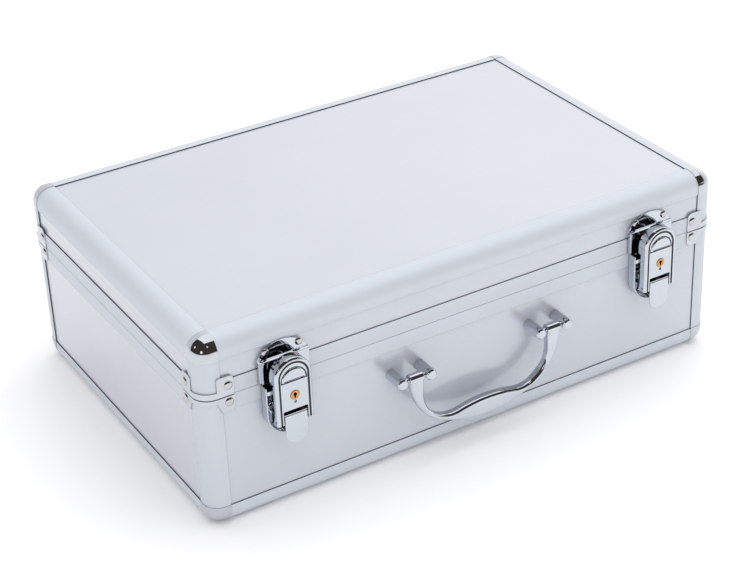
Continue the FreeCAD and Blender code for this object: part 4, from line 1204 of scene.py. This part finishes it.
def bail_outline():
    """Half outlines mirrored: outer corner arc tangent to a bowed underside, inner hollows and hump."""
    turn_z, outer_mid, meet = crown_corner(leg_out, bail_bottom_radius - drop, bail_bottom_radius, bail_turn, -1)
    bend_x, bend_z = leg_in - bail_inner, bail_inner - inner_drop
    rise = bail_inner - hump_rise
    hump = (bend_x ** 2 + rise ** 2 - bail_inner ** 2) / (2 * (bail_inner - rise))
    hump_z = hump_rise - inner_drop - hump
    share = bail_inner / (bail_inner + hump)
    join_at = (bend_x * (1 - share), bend_z + (hump_z - bend_z) * share)
    dip = math.atan2(join_at[1] - bend_z, join_at[0] - bend_x) / 2
    dip_mid = (bend_x + bail_inner * math.cos(dip), bend_z + bail_inner * math.sin(dip))
    return outline((leg_out, leg_above), (leg_out, turn_z), outer_mid + meet, (0, -drop, -meet[0], meet[1]),
                   (-outer_mid[0], outer_mid[1], -leg_out, turn_z), (-leg_out, leg_above), (-leg_in, leg_above),
                   (-leg_in, bend_z), (-dip_mid[0], dip_mid[1], -join_at[0], join_at[1]),
                   (0, hump_rise - inner_drop, join_at[0], join_at[1]), dip_mid + (leg_in, bend_z),
                   (leg_in, leg_above), steps=28)


mesh = bmesh.new()
sheet_part(mesh, lambda u, v, w: Vector((u, pivot_y + bail_thick / 2 - w, pivot_z + v)), bail_thick, bail_edge,
           bail_outline(), steps=6)
for at in (leg_in, -leg_out):
    revolve(mesh, Vector((at, pivot_y, pivot_z)), X, rounded_rod(bail_thick / 2, leg_width, eye_edge), 48)
flat_sides(piece("handle_bail_bar", mesh, "handle", "handle_chrome", [handle_chrome], "handle_bail", crease=35))

# ---- Studio --------------------------------------------------------------------------------------
# A pale floor, two broad soft lamps, and a white room whose front is dark but for a few windows, for the
# bright plating to mirror.
floor_low, floor_reach = -0.0004, 6.0
floor_data = bpy.data.meshes.new("floor")
floor_corners = [(u, v, floor_low) for u, v in rectangle(-floor_reach, -floor_reach, floor_reach, floor_reach)]
floor_data.from_pydata(floor_corners, [], [(0, 1, 2, 3)])
floor = linked("floor", floor_data)


def floor_paint(graph):
    place = graph.place()
    shade = graph.noise(place, 3, 2.0) * 0.3 + graph.noise(place, 240, 2.0) * 0.7
    return {"Base Color": graph.mix(shade, (0.955, 0.955, 0.96), (0.98, 0.98, 0.98)),
            "Roughness": shade * 0.1 + 0.65, "Height": (shade, 0.03, 0.0002)}


floor_data.materials.append(finish_of("floor_paper", floor_paint, Specular_IOR_Level=0.2))

world = bpy.data.worlds.new("studio")
bpy.context.scene.world = world
world.use_nodes = True
sky = Graph(world.node_tree)
ray = sky.node("ShaderNodeTexCoord", out="Generated")


def toward(axis):
    """How far the view direction points along an axis: 1 straight along it, 0 across it."""
    return sky.node("ShaderNodeVectorMath", {"operation": "DOT_PRODUCT"}, {0: ray, 1: tuple(axis)}, "Value")


def window(direction, half_width, half_height, soft_edge, lean=0.0):
    """Share of the view taken by a rectangle that faces the case from that direction."""
    facing = Vector(direction).normalized()
    level = facing.cross(Z).normalized()
    steep = level.cross(facing)
    across = level * math.cos(lean) + steep * math.sin(lean)
    rise = steep * math.cos(lean) - level * math.sin(lean)
    depth = toward(facing)
    safe = depth.math("MAXIMUM", 0.01)
    inside_w = 1 - abs(toward(across) / safe).over(half_width - soft_edge, half_width + soft_edge)
    inside_h = 1 - abs(toward(rise) / safe).over(half_height - soft_edge, half_height + soft_edge)
    return inside_w * inside_h * depth.over(0.0, 0.02)


room, mirrored_room, dark_room = (1.0, 1.0, 1.0), (0.88, 0.885, 0.90), (0.062, 0.048, 0.042)
to_front, above = toward(Vector((-0.50, -0.75, 0.43)).normalized()), sky.axes(ray)[2]
reflected = sky.mix(to_front.over(-0.02, 0.10) * above.over(0.0, 0.03), mirrored_room, dark_room)
for direction, half_width, half_height, soft_edge, lean, colour in (
        ((0.24, 0.18, 0.95), 0.55, 0.50, 0.012, 0.5, (1.25, 1.28, 1.32)),
        ((-0.84, 0.16, 0.50), 0.07, 0.09, 0.012, 0.2, (1.3, 1.25, 1.2)),
        ((0.03, -0.69, 0.72), 0.07, 0.08, 0.012, 0.3, (1.3, 1.25, 1.2)),
        ((-0.68, -0.67, 0.28), 0.11, 0.12, 0.012, 0.1, (1.5, 1.5, 1.55)),
        ((0.75, -0.64, 0.16), 0.22, 0.05, 0.012, 0.2, (0.8, 0.78, 0.70)),
        ((0.80, 0.52, 0.34), 0.55, 0.50, 0.45, 0.0, (1.35, 1.33, 1.30))):
    reflected = sky.mix(window(direction, half_width, half_height, soft_edge, lean), reflected, colour)
plain = sky.node("ShaderNodeLightPath", out="Is Camera Ray") + sky.node("ShaderNodeLightPath", out="Is Diffuse Ray")
backdrop = world.node_tree.nodes["Background"]
world.node_tree.links.new(sky.mix(plain, reflected, room).socket, backdrop.inputs["Color"])
backdrop.inputs["Strength"].default_value = 1.0

for name, place, size, energy in (("top_lamp", (0.5, -0.7, 2.2), 3.0, 16.5),
                                  ("back_lamp", (0.9, 1.0, 1.6), 1.8, 5.0)):
    lamp = linked(name, bpy.data.lights.new(name, "AREA"))
    lamp.data.size, lamp.data.energy, lamp.location = size, energy, place
    lamp.rotation_euler = (-Vector(place)).to_track_quat("-Z", "Y").to_euler()
    lamp.visible_glossy = False
bpy.context.scene.view_settings.view_transform = "Standard"
